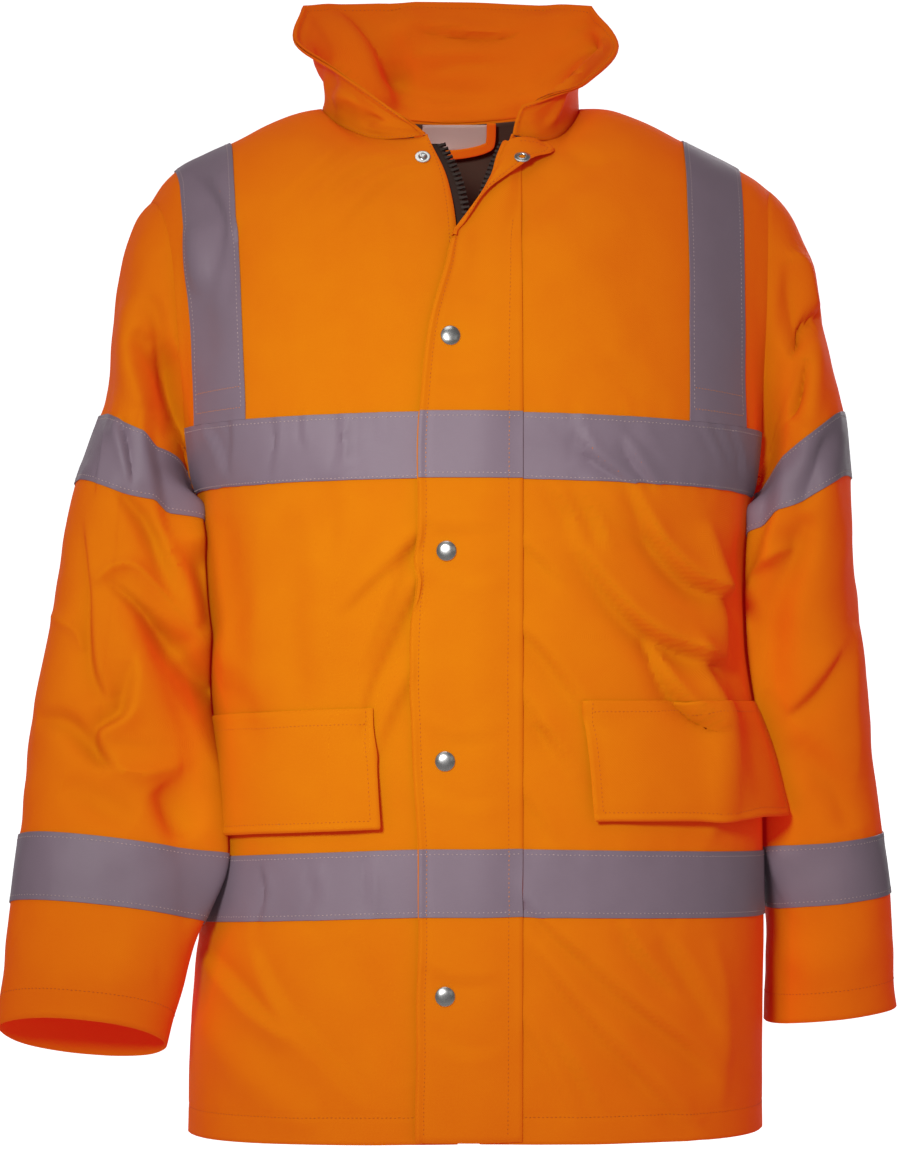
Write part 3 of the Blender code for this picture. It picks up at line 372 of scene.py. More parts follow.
def panel_half(side, face):
    """Fine grid of a front, or of one half of the back, from the middle out and from the hem up."""
    ends, middles = row_ends(side, face)
    table = COLUMNS[side]
    if face == BACK:
        table = BACK_COLUMNS + COLUMNS[side][5:]
    chest_end, hem_end = ends[-1], ends[0]
    shares = [
        (q, column_share(face, chest, LEVELS["chest_high"]["front"], chest_end),
         column_share(face, hem, LEVELS["hem"]["front"], hem_end))
        for q, (chest, hem) in enumerate(table)
    ] + [(9, 1.0, 1.0)]
    at = Curve(shares)(PLACES)
    low, high = LEVELS["hem"]["front"], LEVELS["chest_high"]["front"]
    height = ((middles - low) / (high - low))[:, None]
    share = mix(at[None, :, 1], at[None, :, 0], height)
    z = mix(middles[:, None], ends[:, None, 2], share ** LEVEL_BEND)
    centre = depth(face, z)
    full, width = section_full(np.broadcast_to(ends[:, None, :], (*z.shape, 3)), centre)
    power = 2 / BODY_SQUARENESS
    x = width * np.sin(full * share) ** power
    y = centre * np.clip(np.cos(full * share), 0, 1) ** power
    lower = np.stack([side * x, face * y, z], axis=-1)
    lower[:, -1] = ends
    feet, tops = lower[-1], column_tops(side, face)
    p = np.clip(PLACES / 5, 0, 1)
    on_neck = (p * (2 - p))[None, :]
    s = YOKE_SHARES[:, None]
    rise = mix(s, yoke_rise(s), on_neck)
    inward = mix(s ** INWARD_BEND, 1 - np.clip(np.cos(math.pi / 2 * s), 0, 1) ** YOKE_ROUNDNESS, on_neck)
    z = mix(feet[None, :, 2], tops[None, :, 2], rise)
    x = mix(feet[None, :, 0], tops[None, :, 0], s)
    y = mix(feet[None, :, 1], tops[None, :, 1], inward)
    if face == FRONT:
        edge = OPENING_CURVE[side](z, 0)
        start = NECK_OPENING[side][0][1]
        x = mix(edge + (feet[None, :, 0] - start) * (1 - s), x, np.minimum(1.0, on_neck * NECK_REACH))
    upper = np.stack([x, y, z], axis=-1)
    off = armhole_high(side, face, YOKE_SHARES) - upper[:, -1]
    pull = np.clip((PLACES - 7) / 2, 0, 1) ** 2
    upper += off[:, None, :] * pull[None, :, None]
    beside_neck = np.exp(-((PLACES - 4) / YOKE_BLUR_SPREAD) ** 2)[None, :]
    even = beside_neck * smooth(1 - s, 0.02, 0.25) * smooth(s, 0, 0.1)
    for _ in range(YOKE_BLUR):
        blur = upper.copy()
        blur[:, 1:-1] = (upper[:, :-2] + 2 * upper[:, 1:-1] + upper[:, 2:]) / 4
        upper = mix(upper, blur, even[..., None])
    return np.concatenate([lower, upper])


def grid_normals(grid, closed=False):
    up = np.gradient(grid, axis=0)
    if closed:
        across = np.roll(grid, -1, axis=1) - np.roll(grid, 1, axis=1)
    else:
        across = np.gradient(grid, axis=1)
    normal = np.cross(across, up)
    return normal / np.maximum(np.linalg.norm(normal, axis=-1, keepdims=True), 1e-9)


# ---------------------------------------------------------------- folds and creases

SOFT, CREST, BANK = range(3)  # rounded; sharp; high at the left of its path and low at its right

# path of x z points, half width, height (outwards positive), kind, place of the peak along the path
FOLDS = {  # for each piece and face (0 both)
    ("front_left", 0): [
        ([(124, -296), (144, -338), (168, -364), (192, -376)], 12, 7.0, BANK, 0.65),
        ([(84, -342), (109, -376), (133, -401), (162, -417), (190, -428)], 13, 7.0, BANK, 0.65),
        ([(139, -408), (151, -439), (166, -460), (180, -472)], 10, 6.0, BANK, 0.65),
        ([(36, -396), (60, -420), (82, -450), (100, -476)], 12, 3.0, BANK, 0.5),
        ([(182, -322), (188, -360), (196, -408)], 14, 6.5, CREST, 0.6),
        ([(176, -418), (184, -444), (192, -470), (188, -520), (188, -560)], 14, 7.5, CREST, 0.4),
        ([(214, -330), (208, -400), (212, -470), (214, -540)], 13, -4.0, SOFT, 0.5),
        ([(98, -302), (120, -322), (150, -342)], 12, 2.2, BANK, 0.3),
        ([(36, -440), (56, -470), (70, -500)], 10, 1.8, BANK, 0.5),
        ([(36, -510), (56, -540), (66, -560)], 9, 1.6, BANK, 0.5),
        ([(50, -636), (92, -690), (150, -752), (176, -780)], 15, 3.6, BANK, 0.5),
        ([(70, -628), (120, -676), (170, -716), (190, -740)], 14, 3.6, BANK, 0.5),
        ([(150, -630), (170, -660), (190, -700)], 11, 2.6, BANK, 0.5),
        ([(36, -676), (62, -724), (84, -770)], 13, 2.0, BANK, 0.5),
        ([(188, -636), (196, -690), (194, -760)], 14, 3.0, CREST, 0.5),
        ([(60, -240), (90, -268), (120, -290)], 6, 1.6, BANK, 0.5),
        ([(88, -256), (97, -276), (127, -296)], 6, 4.0, BANK, 0.5),
        ([(118, -262), (128, -278), (144, -298)], 6, 3.6, BANK, 0.5),
        ([(118, -245), (134, -260), (150, -276)], 5, 2.0, BANK, 0.4),
        ([(84, -244), (86, -262), (82, -284)], 4, 1.4, BANK, 0.4),
        ([(176, -248), (186, -264), (194, -280)], 4, 1.8, BANK, 0.4),
        ([(190, -250), (198, -266), (204, -280)], 4, 1.7, BANK, 0.4),
        ([(204, -256), (209, -272), (212, -290)], 4, 1.5, BANK, 0.4),
        ([(64, -300), (78, -318), (84, -340)], 7, 2.2, BANK, 0.4),
        ([(86, -304), (98, -322), (106, -344)], 7, 2.4, BANK, 0.4),
        ([(40, -336), (58, -352), (74, -372)], 8, 1.8, BANK, 0.5),
        ([(52, -470), (66, -484), (86, -520)], 7, 1.5, BANK, 0.5),
        ([(36, -590), (60, -620), (90, -650)], 8, 1.6, BANK, 0.5),
        ([(120, -626), (136, -650), (160, -676)], 7, 2.2, BANK, 0.4),
        ([(64, -700), (84, -730), (100, -760)], 7, 1.6, BANK, 0.5),
        ([(20, -116), (48, -88), (82, -62), (110, -56)], 13, -3.4, SOFT, 0.4),
        ([(84, -44), (100, -50), (124, -46)], 9, -2.0, CREST, 0.3),
        ([(58, -140), (92, -112), (130, -100)], 20, 1.8, SOFT, 0.4),
        ([(60, -96), (92, -140), (130, -190)], 24, 1.8, SOFT, 0.5),
        ([(100, -200), (130, -216), (160, -240)], 14, 1.6, BANK, 0.5),
    ],
    ("front_right", 0): [
        ([(-36, -330), (-52, -380), (-76, -440)], 12, -2.6, BANK, 0.5),
        ([(-34, -337), (-61, -363), (-88, -390)], 9, -2.4, BANK, 0.2),
        ([(-34, -372), (-50, -404), (-69, -448), (-78, -490)], 11, -3.4, BANK, 0.1),
        ([(-101, -300), (-99, -330), (-100, -356)], 10, -2.6, SOFT, 0.3),
        ([(-150, -330), (-154, -400), (-150, -480)], 24, 2.8, CREST, 0.4),
        ([(-182, -330), (-177, -380), (-168, -430)], 13, -2.6, SOFT, 0.3),
        ([(-120, -330), (-126, -400), (-118, -470)], 12, -1.6, SOFT, 0.5),
        ([(-196, -250), (-186, -262), (-176, -292)], 5, -2.2, BANK, 0.5),
        ([(-174, -246), (-172, -262), (-176, -286)], 5, 1.8, BANK, 0.4),
        ([(-140, -244), (-138, -264), (-142, -292)], 4, 1.7, BANK, 0.5),
        ([(-118, -244), (-119, -256), (-116, -270)], 3.5, 1.3, BANK, 0.4),
        ([(-92, -242), (-90, -262), (-94, -290)], 4, 1.8, BANK, 0.5),
        ([(-82, -243), (-84, -262), (-80, -288)], 3.5, -1.4, BANK, 0.5),
        ([(-62, -243), (-60, -256), (-64, -268)], 3.5, 1.2, BANK, 0.4),
        ([(-200, -566), (-196, -584), (-198, -620)], 5, 2.0, BANK, 0.5),
        ([(-150, -578), (-146, -600), (-152, -626)], 4, 1.6, BANK, 0.5),
        ([(-112, -574), (-108, -596), (-112, -622)], 4, 1.4, BANK, 0.5),
        ([(-70, -570), (-68, -590), (-72, -616)], 4, 1.3, BANK, 0.5),
        ([(-40, -440), (-54, -470), (-64, -500)], 10, -2.2, BANK, 0.4),
        ([(-64, -310), (-96, -370), (-112, -440)], 18, 2.2, SOFT, 0.5),
        ([(-196, -300), (-186, -350), (-178, -420), (-182, -450)], 13, 2.8, CREST, 0.5),
        ([(-120, -320), (-150, -372), (-190, -410)], 15, -2.4, SOFT, 0.5),
        ([(-186, -430), (-160, -470), (-150, -500)], 12, -2.0, SOFT, 0.5),
        ([(-190, -656), (-156, -686), (-126, -706)], 12, -3.2, BANK, 0.4),
        ([(-156, -640), (-130, -690), (-70, -756)], 15, -2.6, BANK, 0.5),
        ([(-200, -700), (-156, -742), (-110, -776)], 15, 2.6, SOFT, 0.5),
        ([(-90, -632), (-64, -690), (-42, -740)], 14, -2.2, SOFT, 0.5),
        ([(-110, -626), (-130, -660), (-134, -720)], 16, 1.8, SOFT, 0.5),
        ([(-34, -56), (-60, -70), (-96, -110)], 9, -1.6, BANK, 0.4),
        ([(-52, -48), (-84, -60), (-120, -96)], 8, -1.4, BANK, 0.4),
        ([(-88, -40), (-110, -60), (-140, -84)], 10, -1.5, BANK, 0.4),
        ([(-40, -90), (-70, -130), (-90, -170)], 18, -1.6, SOFT, 0.5),
        ([(-206, -60), (-194, -72), (-181, -92), (-182, -108), (-192, -150)], 10, -4.5, CREST, 0.4),
        ([(-186, -64), (-176, -90), (-174, -112), (-180, -150)], 9, 3.6, CREST, 0.4),
        ([(-166, -96), (-174, -120), (-178, -160)], 8, -2.6, CREST, 0.5),
        ([(-204, -96), (-200, -124), (-196, -150)], 8, 4.0, SOFT, 0.5),
        ([(-196, -140), (-194, -176), (-190, -204)], 10, -2.0, SOFT, 0.5),
    ],
    ("storm_flap", 0): [
        ([(-34, -318), (-10, -330), (30, -326)], 6, 0.9, BANK, 0.5),
        ([(-30, -350), (4, -366), (32, -362)], 6, -0.8, BANK, 0.4),
        ([(-34, -210), (-8, -222), (26, -216)], 6, 0.8, BANK, 0.4),
        ([(-20, -170), (6, -160), (30, -166)], 7, -0.8, BANK, 0.5),
        ([(-32, -470), (-6, -482), (34, -478)], 7, 0.8, BANK, 0.5),
        ([(-30, -520), (2, -532), (30, -530)], 7, -0.8, BANK, 0.5),
        ([(-32, -650), (-4, -662), (30, -660)], 7, 0.9, BANK, 0.5),
        ([(-30, -700), (0, -716), (32, -712)], 8, -0.9, BANK, 0.5),
    ],
    ("back", 0): [  # back, much as the fronts
        ([(-160, -246), (-156, -268), (-160, -292)], 4, 1.8, BANK, 0.5),
        ([(-96, -244), (-92, -262), (-98, -288)], 4, 1.6, BANK, 0.5),
        ([(-30, -244), (-26, -262), (-32, -288)], 4, 1.6, BANK, 0.5),
        ([(44, -244), (46, -266), (40, -290)], 4, -1.7, BANK, 0.5),
        ([(112, -246), (116, -268), (110, -292)], 4, 1.7, BANK, 0.5),
        ([(176, -248), (172, -270), (178, -296)], 4, -1.8, BANK, 0.5),
        ([(-190, -320), (-134, -386), (-70, -430)], 17, -5.0, BANK, 0.4),
        ([(-200, -376), (-146, -436), (-76, -490)], 17, -5.0, BANK, 0.4),
        ([(190, -320), (132, -390), (76, -440)], 17, 5.0, BANK, 0.4),
        ([(200, -380), (150, -436), (84, -486)], 16, 4.6, BANK, 0.4),
        ([(-204, -436), (-154, -496), (-116, -530)], 14, -3.6, BANK, 0.4),
        ([(206, -446), (162, -500), (124, -540)], 14, 3.6, BANK, 0.4),
        ([(-40, -320), (-20, -420), (-26, -520)], 24, -2.4, SOFT, 0.5),
        ([(40, -340), (26, -430), (30, -520)], 24, -2.0, SOFT, 0.5),
        ([(-130, -634), (-84, -700), (-54, -770)], 17, 4.0, BANK, 0.5),
        ([(-190, -646), (-144, -706), (-114, -770)], 15, 3.6, BANK, 0.5),
        ([(140, -634), (98, -700), (64, -770)], 17, -4.0, BANK, 0.5),
        ([(200, -646), (154, -700), (132, -760)], 15, -3.6, BANK, 0.5),
        ([(-150, -90), (-110, -150), (-96, -220)], 20, -2.6, SOFT, 0.5),
        ([(150, -84), (110, -150), (94, -220)], 20, -2.6, SOFT, 0.5),
        ([(-30, -30), (0, -50), (34, -32)], 14, -2.0, SOFT, 0.5),
        ([(-60, -60), (-30, -110), (-20, -170)], 18, 1.8, SOFT, 0.5),
        ([(60, -60), (34, -110), (22, -170)], 18, 1.8, SOFT, 0.5),
    ],
    ("sleeve_right", FRONT): [  # at the left of the picture
        ([(-271, -364), (-262, -356), (-249, -355), (-236, -368), (-214, -392), (-196, -412)],
         8, 4.0, CREST, 0.4),
        ([(-231, -322), (-222, -346), (-208, -376), (-202, -394)], 7, 3.0, SOFT, 0.6),
        ([(-262, -392), (-250, -420), (-236, -450), (-222, -480), (-214, -510)], 13, 4.0, SOFT, 0.4),
        ([(-286, -330), (-280, -380), (-276, -430), (-266, -456)], 12, 4.0, BANK, 0.5),
        ([(-248, -428), (-250, -450), (-254, -467), (-272, -480), (-270, -494), (-258, -508)],
         11, 4.0, BANK, 0.5),
        ([(-322, -472), (-300, -473), (-283, -487), (-262, -506)], 8, -4.5, SOFT, 0.5),
        ([(-262, -508), (-240, -512), (-212, -508)], 10, 4.0, CREST, 0.4),
        ([(-300, -520), (-272, -530), (-244, -548)], 12, -3.6, SOFT, 0.5),
        ([(-226, -520), (-214, -540), (-206, -560)], 12, -6.0, SOFT, 0.5),
        ([(-308, -396), (-292, -404), (-286, -420)], 7, 2.4, CREST, 0.4),
        ([(-262, -244), (-256, -262), (-250, -292)], 6, -2.4, BANK, 0.5),
        ([(-276, -250), (-274, -272), (-278, -298)], 5, 1.8, BANK, 0.5),
        ([(-240, -150), (-226, -196), (-214, -234)], 11, -6.0, SOFT, 0.6),
        ([(-256, -150), (-250, -196), (-244, -236)], 12, 3.6, SOFT, 0.5),
        ([(-227, -96), (-221, -130)], 6, -2.4, CREST, 0.5),
        ([(-282, -190), (-278, -230), (-290, -280)], 14, -3.0, SOFT, 0.5),
    ],
    ("sleeve_right", BACK): [
        ([(-300, -300), (-262, -350), (-222, -390)], 14, -6.0, BANK, 0.5),
        ([(-310, -370), (-270, -410), (-226, -440)], 14, -6.0, BANK, 0.5),
        ([(-318, -430), (-276, -470), (-234, -490)], 14, -5.0, BANK, 0.5),
        ([(-326, -490), (-280, -520), (-240, -530)], 14, 4.0, SOFT, 0.5),
    ],
    ("sleeve_right", 0): [
        ([(-336, -640), (-280, -660), (-226, -660)], 18, 2.6, SOFT, 0.5),
    ],
    ("sleeve_left", FRONT): [  # at the right of the picture
        ([(251, -116), (262, -130), (272, -170)], 10, 4.0, CREST, 0.5),
        ([(250, -124), (252, -160), (250, -190)], 9, -4.0, SOFT, 0.5),
        ([(276, -160), (264, -172), (248, -196)], 6, -5.5, CREST, 0.5),
        ([(262, -200), (256, -224), (244, -246)], 6, -5.0, CREST, 0.5),
        ([(270, -180), (266, -210), (262, -250)], 9, 3.0, SOFT, 0.5),
        ([(284, -252), (270, -280), (256, -312)], 9, -3.4, SOFT, 0.5),
        ([(228, -354), (238, -346), (250, -344)], 8, 3.5, CREST, 0.5),
        ([(258, -330), (246, -360), (236, -400), (238, -450)], 13, -6.0, SOFT, 0.4),
        ([(290, -420), (270, -450), (250, -470)], 16, -3.4, BANK, 0.5),
        ([(304, -400), (300, -450), (306, -520)], 14, 3.0, CREST, 0.5),
        ([(300, -560), (290, -530), (262, -500)], 14, -4.0, SOFT, 0.6),
    ],
    ("sleeve_left", BACK): [
        ([(300, -310), (270, -350), (240, -380)], 14, 6.0, BANK, 0.5),
        ([(306, -370), (270, -410), (240, -436)], 14, 6.0, BANK, 0.5),
        ([(316, -430), (280, -470), (246, -494)], 14, 5.0, BANK, 0.5),
        ([(322, -490), (286, -524), (250, -540)], 13, 4.0, SOFT, 0.5),
    ],
    ("sleeve_left", 0): [
        ([(332, -640), (290, -662), (246, -660)], 18, 2.6, SOFT, 0.5),
    ],
}
RECESSES = [  # on a sleeve's front: depth, then its outline as x, z and how soft the edge from there on is
    ("sleeve_right", 62, [
        (-276, -361, 20), (-255, -384, 22), (-248, -395, 24), (-234, -429, 26), (-220, -450, 26),
        (-205, -472, 28), (-187, -506, 30), (-172, -530, 60), (-150, -520, 60), (-150, -402, 60),
        (-196, -408, 44), (-214, -399, 40), (-228, -390, 34), (-246, -376, 28), (-262, -367, 22)]),
    ("sleeve_right", 26, [
        (-220, -334, 14), (-209, -366, 14), (-202, -390, 14), (-199, -402, 18), (-176, -420, 40),
        (-176, -326, 40), (-206, -334, 26)]),
    ("sleeve_right", 24, [
        (-268, -296, 22), (-252, -328, 24), (-236, -356, 22), (-220, -379, 16), (-204, -401, 12),
        (-213, -374, 14), (-221, -352, 16), (-227, -328, 20), (-236, -310, 24), (-252, -296, 26)]),
    ("sleeve_right", 22, [
        (-262, -176, 20), (-252, -210, 20), (-240, -240, 20), (-226, -252, 20), (-206, -252, 26),
        (-206, -196, 26), (-226, -180, 18), (-244, -172, 16)]),
    ("sleeve_right", 20, [
        (-300, -150, 26), (-290, -200, 26), (-286, -250, 26), (-268, -246, 22), (-262, -200, 22),
        (-268, -150, 24)]),
    ("sleeve_left", 34, [
        (246, -352, 60), (262, -420, 70), (268, -500, 70), (262, -580, 80), (190, -600, 80),
        (190, -350, 40), (214, -352, 26)]),
]
FOLD_GAIN = {"body": 1.65, "sleeve": 2.1}
TAPE_CALM, TAPE_MIDDLE, TAPE_HALF = 0.55, -272.0, 46  # the stiff chest tape has shallower folds
SOFT_WAVES = {"body": 1.5, "sleeve": 2.2}  # mm, of the wide unevenness of the cloth
PUCKER = 0.6  # mm, along seams and tape edges


def fold_profile(kind, d):
    """Height across a fold, by the distance from its path in half widths."""
    if kind == SOFT:
        return np.exp(-d * d)
    if kind == CREST:
        return np.exp(-1.5 * (np.sqrt(d * d + 0.03) - 0.17))
    return 1.2 * np.tanh(3.4 * d) * np.exp(-np.abs(d) ** 1.2)


def fold_lift(x, z, path, width, height, kind, peak):
    """How far one fold pushes points outwards, by their place x, z."""
    line = catmull(path, 8)
    best = np.full(x.shape, 1e9)
    across, share, past = np.zeros(x.shape), np.zeros(x.shape), np.zeros(x.shape)
    last = len(line) - 2
    for i, (a, b) in enumerate(zip(line, line[1:])):
        ab = b - a
        length = math.hypot(*ab)
        along = ((x - a[0]) * ab[0] + (z - a[1]) * ab[1]) / length
        t = np.clip(along / length, 0, 1)
        dx, dz = x - a[0] - ab[0] * t, z - a[1] - ab[1] * t
        distance = np.hypot(dx, dz)
        beyond = np.maximum(-along, 0) * (i == 0) + np.maximum(along - length, 0) * (i == last)
        near = distance < best - 1e-6
        best = np.where(near, distance, best)
        past = np.where(near, beyond, past)
        across = np.where(near, np.sign(ab[0] * dz - ab[1] * dx), across)
        share = np.where(near, (i + t) / (last + 1), share)
    across *= np.sqrt(np.maximum(best ** 2 - past ** 2, 0))
    reach = max(peak, 1 - peak)
    taper = 0.12 + 0.88 * np.cos(math.pi / 2 * np.clip((share - peak) / reach, -1, 1)) ** 0.8
    size = width * (0.6 + 0.5 * taper)
    return height * taper * fold_profile(kind, across / size) * np.exp(-(past / size) ** 2)


def fold_field(name, grid, normals):
    """How far the folds of a piece push its points outwards."""
    x, z = grid[..., 0], grid[..., 2]
    total = np.zeros(x.shape)
    for (panel, face), folds in FOLDS.items():
        if panel != name:
            continue
        if face:
            gain = FOLD_GAIN["sleeve"] * smooth(face * normals[..., 1], -0.1, 0.3)
        else:
            gain = FOLD_GAIN["body"] - TAPE_CALM * np.exp(-((z - TAPE_MIDDLE) / TAPE_HALF) ** 4)
        for fold in folds:
            total += fold_lift(x, z, *fold) * gain
    return total


def recess_field(name, grid):
    """How far the recesses of a sleeve push its front back."""
    x, z = grid[..., 0], grid[..., 2]
    total = np.zeros(x.shape)
    for sleeve, deep, outline in RECESSES:
        if sleeve != name:
            continue
        near = np.full(x.shape, 1e9)
        winding = np.zeros(x.shape)
        for (ax, az, soft), (bx, bz, _) in zip(outline, outline[1:] + outline[:1]):
            along = (x - ax) * (bx - ax) + (z - az) * (bz - az)
            t = np.clip(along / ((bx - ax) ** 2 + (bz - az) ** 2), 0, 1)
            near = np.minimum(near, np.hypot(x - mix(ax, bx, t), z - mix(az, bz, t)) / soft)
            side = (bx - ax) * (z - az) - (bz - az) * (x - ax)
            winding += (np.where((az <= z) & (z < bz) & (side > 0), 1, 0)
                        - np.where((bz <= z) & (z < az) & (side < 0), 1, 0))
        near = np.where(winding != 0, near, 0)
        total += deep * np.tanh(1.3 * (np.sqrt(near ** 2 + 0.03) - math.sqrt(0.03)))
    for _ in range(2):
        total[1:-1] = (2 * total[1:-1] + total[2:] + total[:-2]) / 4
        total = (2 * total + np.roll(total, 1, 1) + np.roll(total, -1, 1)) / 4
    return total * smooth(-grid[..., 1], -20, 88)


def waves(grid, size, seed):
    """Even, seeded unevenness between -1 and 1."""
    flat = grid.reshape(-1, 3) / size
    shift = Vector((seed * 3.7, seed * 1.3, seed * 2.1))
    values = [noise.noise(Vector(p) + shift) for p in flat]
    return np.array(values).reshape(grid.shape[:2])


def body_relief(name, grid, normals, seed):
    """Folds, soft waves and puckers of a body panel."""
    relief = fold_field(name, grid, normals)
    relief += SOFT_WAVES["body"] * (waves(grid * np.array([1, 1, 0.6]), 75, seed)
                                    + 0.45 * waves(grid * np.array([1, 1, 0.8]), 34, seed + 5))
    rows = np.arange(len(grid))[:, None]
    ripple = waves(grid * np.array([1, 1, 0.25]), 11, seed + 9)
    for word in ("chest_low", "chest_high", "waist_low", "waist_high"):
        away = np.abs(grid[..., 2] - grid[ROW[word], :, 2][None, :])
        relief += PUCKER * 1.5 * ripple * np.exp(-away / 9)
    groove = rows == ROW["hem_band"]
    relief -= 0.5 * groove
    relief += 0.5 * ripple * np.exp(-np.abs(rows - ROW["hem_band"]) / 5)
    return relief


# ---------------------------------------------------------------- meshes


def edge_loops(rows, cols, closed):
    """Grid places round each open edge, so that the sheet lies at the left of the way round."""
    if closed:
        bottom = [(0, c) for c in range(cols)]
        top = [(rows - 1, c) for c in range(cols)][::-1]
        return [bottom, top]
    return [
        [(0, c) for c in range(cols)] + [(r, cols - 1) for r in range(1, rows)]
        + [(rows - 1, c) for c in range(cols - 2, -1, -1)] + [(r, 0) for r in range(rows - 2, 0, -1)]
    ]


def grid_uv(grid):
    """Arc lengths along rows and columns, in metres."""
    step_c = np.linalg.norm(np.diff(grid, axis=1), axis=-1)
    u = np.concatenate([np.zeros((len(grid), 1)), np.cumsum(step_c, axis=1)], axis=1)
    u -= u[:, [u.shape[1] // 2]]
    step_r = np.linalg.norm(np.diff(grid, axis=0), axis=-1)
    v = np.concatenate([np.zeros((1, grid.shape[1])), np.cumsum(step_r, axis=0)], axis=0)
    return np.stack([u, v], axis=-1) * MM


def new_object(name, vertices, faces, material_list, face_materials=None, uv=None, sharp=0.9):
    mesh = bpy.data.meshes.new(name)
    mesh.from_pydata([tuple(v) for v in vertices], [], faces)
    for material in material_list:
        mesh.materials.append(material)
    if face_materials is not None:
        mesh.polygons.foreach_set("material_index", np.asarray(face_materials, np.int32))
    if uv is not None:
        layer = mesh.uv_layers.new(name="cloth")
        index = np.zeros(len(mesh.loops), np.int32)
        mesh.loops.foreach_get("vertex_index", index)
        layer.data.foreach_set("uv", np.asarray(uv, np.float32)[index].ravel())
    mesh.shade_smooth()
    if sharp:
        mesh.set_sharp_from_angle(angle=sharp)
    piece = bpy.data.objects.new(name, mesh)
    bpy.context.scene.collection.objects.link(piece)
    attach(piece, "root")
    return piece


CUTS = {}  # outer points of each wall, and whether it closes round


def wall(name, outer, inner, outer_material, inner_material=None, closed=False, facing=None,
         roll=RIM_ROLL):
    """One closed cloth wall between two sheets of points, with a rounded rim."""
    CUTS[name] = (outer, closed)
    rows, cols = outer.shape[:2]
    count = rows * cols
    thick = np.linalg.norm(outer - inner, axis=-1)
    outward = (outer - inner) / np.maximum(thick, 1e-6)[..., None]
    vertices = [outer.reshape(-1, 3), inner.reshape(-1, 3)]
    uv_grid = grid_uv(outer)
    uv = [uv_grid.reshape(-1, 2), uv_grid.reshape(-1, 2)]
    index = np.arange(count).reshape(rows, cols)
    spans = cols if closed else cols - 1
    a = index[:-1, :spans]
    b = np.roll(index, -1, axis=1)[:-1, :spans]
    c = np.roll(index, -1, axis=1)[1:, :spans]
    d = index[1:, :spans]
    quads = np.stack([a, b, c, d], axis=-1).reshape(-1, 4)
    faces = quads.tolist()
    kinds = [0] * len(faces)
    faces += (quads[:, ::-1] + count).tolist()
    inside = np.ones((rows - 1, spans), int)
    if facing is not None:
        inside = np.where(facing[:-1, :spans] > 0.5, 0, 1)
    kinds += inside.ravel().tolist()
    start = 2 * count
    for loop in edge_loops(rows, cols, closed):
        r = np.array([p[0] for p in loop])
        col = np.array([p[1] for p in loop])
        middle = (outer[r, col] + inner[r, col]) / 2
        along = np.roll(middle, -1, axis=0) - np.roll(middle, 1, axis=0)
        away = np.cross(along, outward[r, col])
        away /= np.maximum(np.linalg.norm(away, axis=-1, keepdims=True), 1e-9)
        vertices.append(middle + away * thick[r, col][:, None] * roll)
        uv.append(uv_grid[r, col])
        outer_id = index[r, col]
        mid_id = start + np.arange(len(loop))
        start += len(loop)
        j = np.roll(np.arange(len(loop)), -1)
        faces += np.stack([mid_id, mid_id[j], outer_id[j], outer_id], axis=-1).tolist()
        faces += np.stack([outer_id + count, outer_id[j] + count, mid_id[j], mid_id], axis=-1).tolist()
        kinds += [0] * (2 * len(loop))
    used = [outer_material, inner_material or outer_material]
    return new_object(name, np.concatenate(vertices) * MM, faces, used, kinds, np.concatenate(uv))


class Surface:
    """A fine grid with its outward normals; places on it are (row, column) with fractions."""

    def __init__(self, grid, closed=False, normals=None):
        self.grid = grid
        self.closed = closed
        self.normals = grid_normals(grid, closed) if normals is None else normals

    def sample(self, r, c, lift=0.0):
        rows, cols = self.grid.shape[:2]
        r = np.clip(np.asarray(r, float), 0, rows - 1)
        c = np.asarray(c, float)
        if not self.closed:
            c = np.clip(c, 0, cols - 1)
        r0 = np.minimum(r.astype(int), rows - 2)
        c0 = np.floor(c).astype(int)
        if not self.closed:
            c0 = np.minimum(c0, cols - 2)
        fr, fc = (r - r0)[..., None], (c - c0)[..., None]
        ca, cb = c0 % cols, (c0 + 1) % cols
        out = []
        for field in (self.grid, self.normals):
            low = field[r0, ca] * (1 - fc) + field[r0, cb] * fc
            high = field[r0 + 1, ca] * (1 - fc) + field[r0 + 1, cb] * fc
            out.append(low * (1 - fr) + high * fr)
        normal = out[1] / np.linalg.norm(out[1], axis=-1, keepdims=True)
        lift = np.asarray(lift, float)[..., None]
        return out[0] + normal * lift, normal

    def patch(self, rows, cols):
        """The part of the surface between two rows and two columns, with fractions allowed."""
        r = fractions(rows)
        c = fractions(cols)
        points, normals = self.sample(*np.meshgrid(r, c, indexing="ij"))
        return Surface(points, normals=normals)

    def lifted(self, lift):
        return self.grid + self.normals * (lift[..., None] if isinstance(lift, np.ndarray) else lift)


def fractions(span):
    low, high = span
    whole = [k for k in range(math.ceil(low + 0.2), math.floor(high - 0.2) + 1)]
    return np.array([low, *whole, high])


def pulled(grid, edges, gap=0.3):
    """The grid with its named edges drawn back by a gap, as at a seam."""
    out = grid.copy()
    ends = {"bottom": (0, 1), "top": (-1, -2)}
    for edge, (a, b) in ends.items():
        if edge in edges:
            step = out[b] - out[a]
            out[a] += step / np.linalg.norm(step, axis=-1, keepdims=True) * gap
    for edge, (a, b) in (("start", (0, 1)), ("end", (-1, -2))):
        if edge in edges:
            step = out[:, b] - out[:, a]
            out[:, a] += step / np.linalg.norm(step, axis=-1, keepdims=True) * gap
    return out


def layer(name, surface, lift, thickness, material, inner_material=None, edges=(), gap=0.3, **more):
    """A wall of cloth that lies a lift above a surface."""
    outer = pulled(surface.lifted(lift + thickness), edges, gap)
    inner = pulled(surface.lifted(lift), edges, gap)
    return wall(name, outer, inner, material, inner_material, surface.closed, **more)


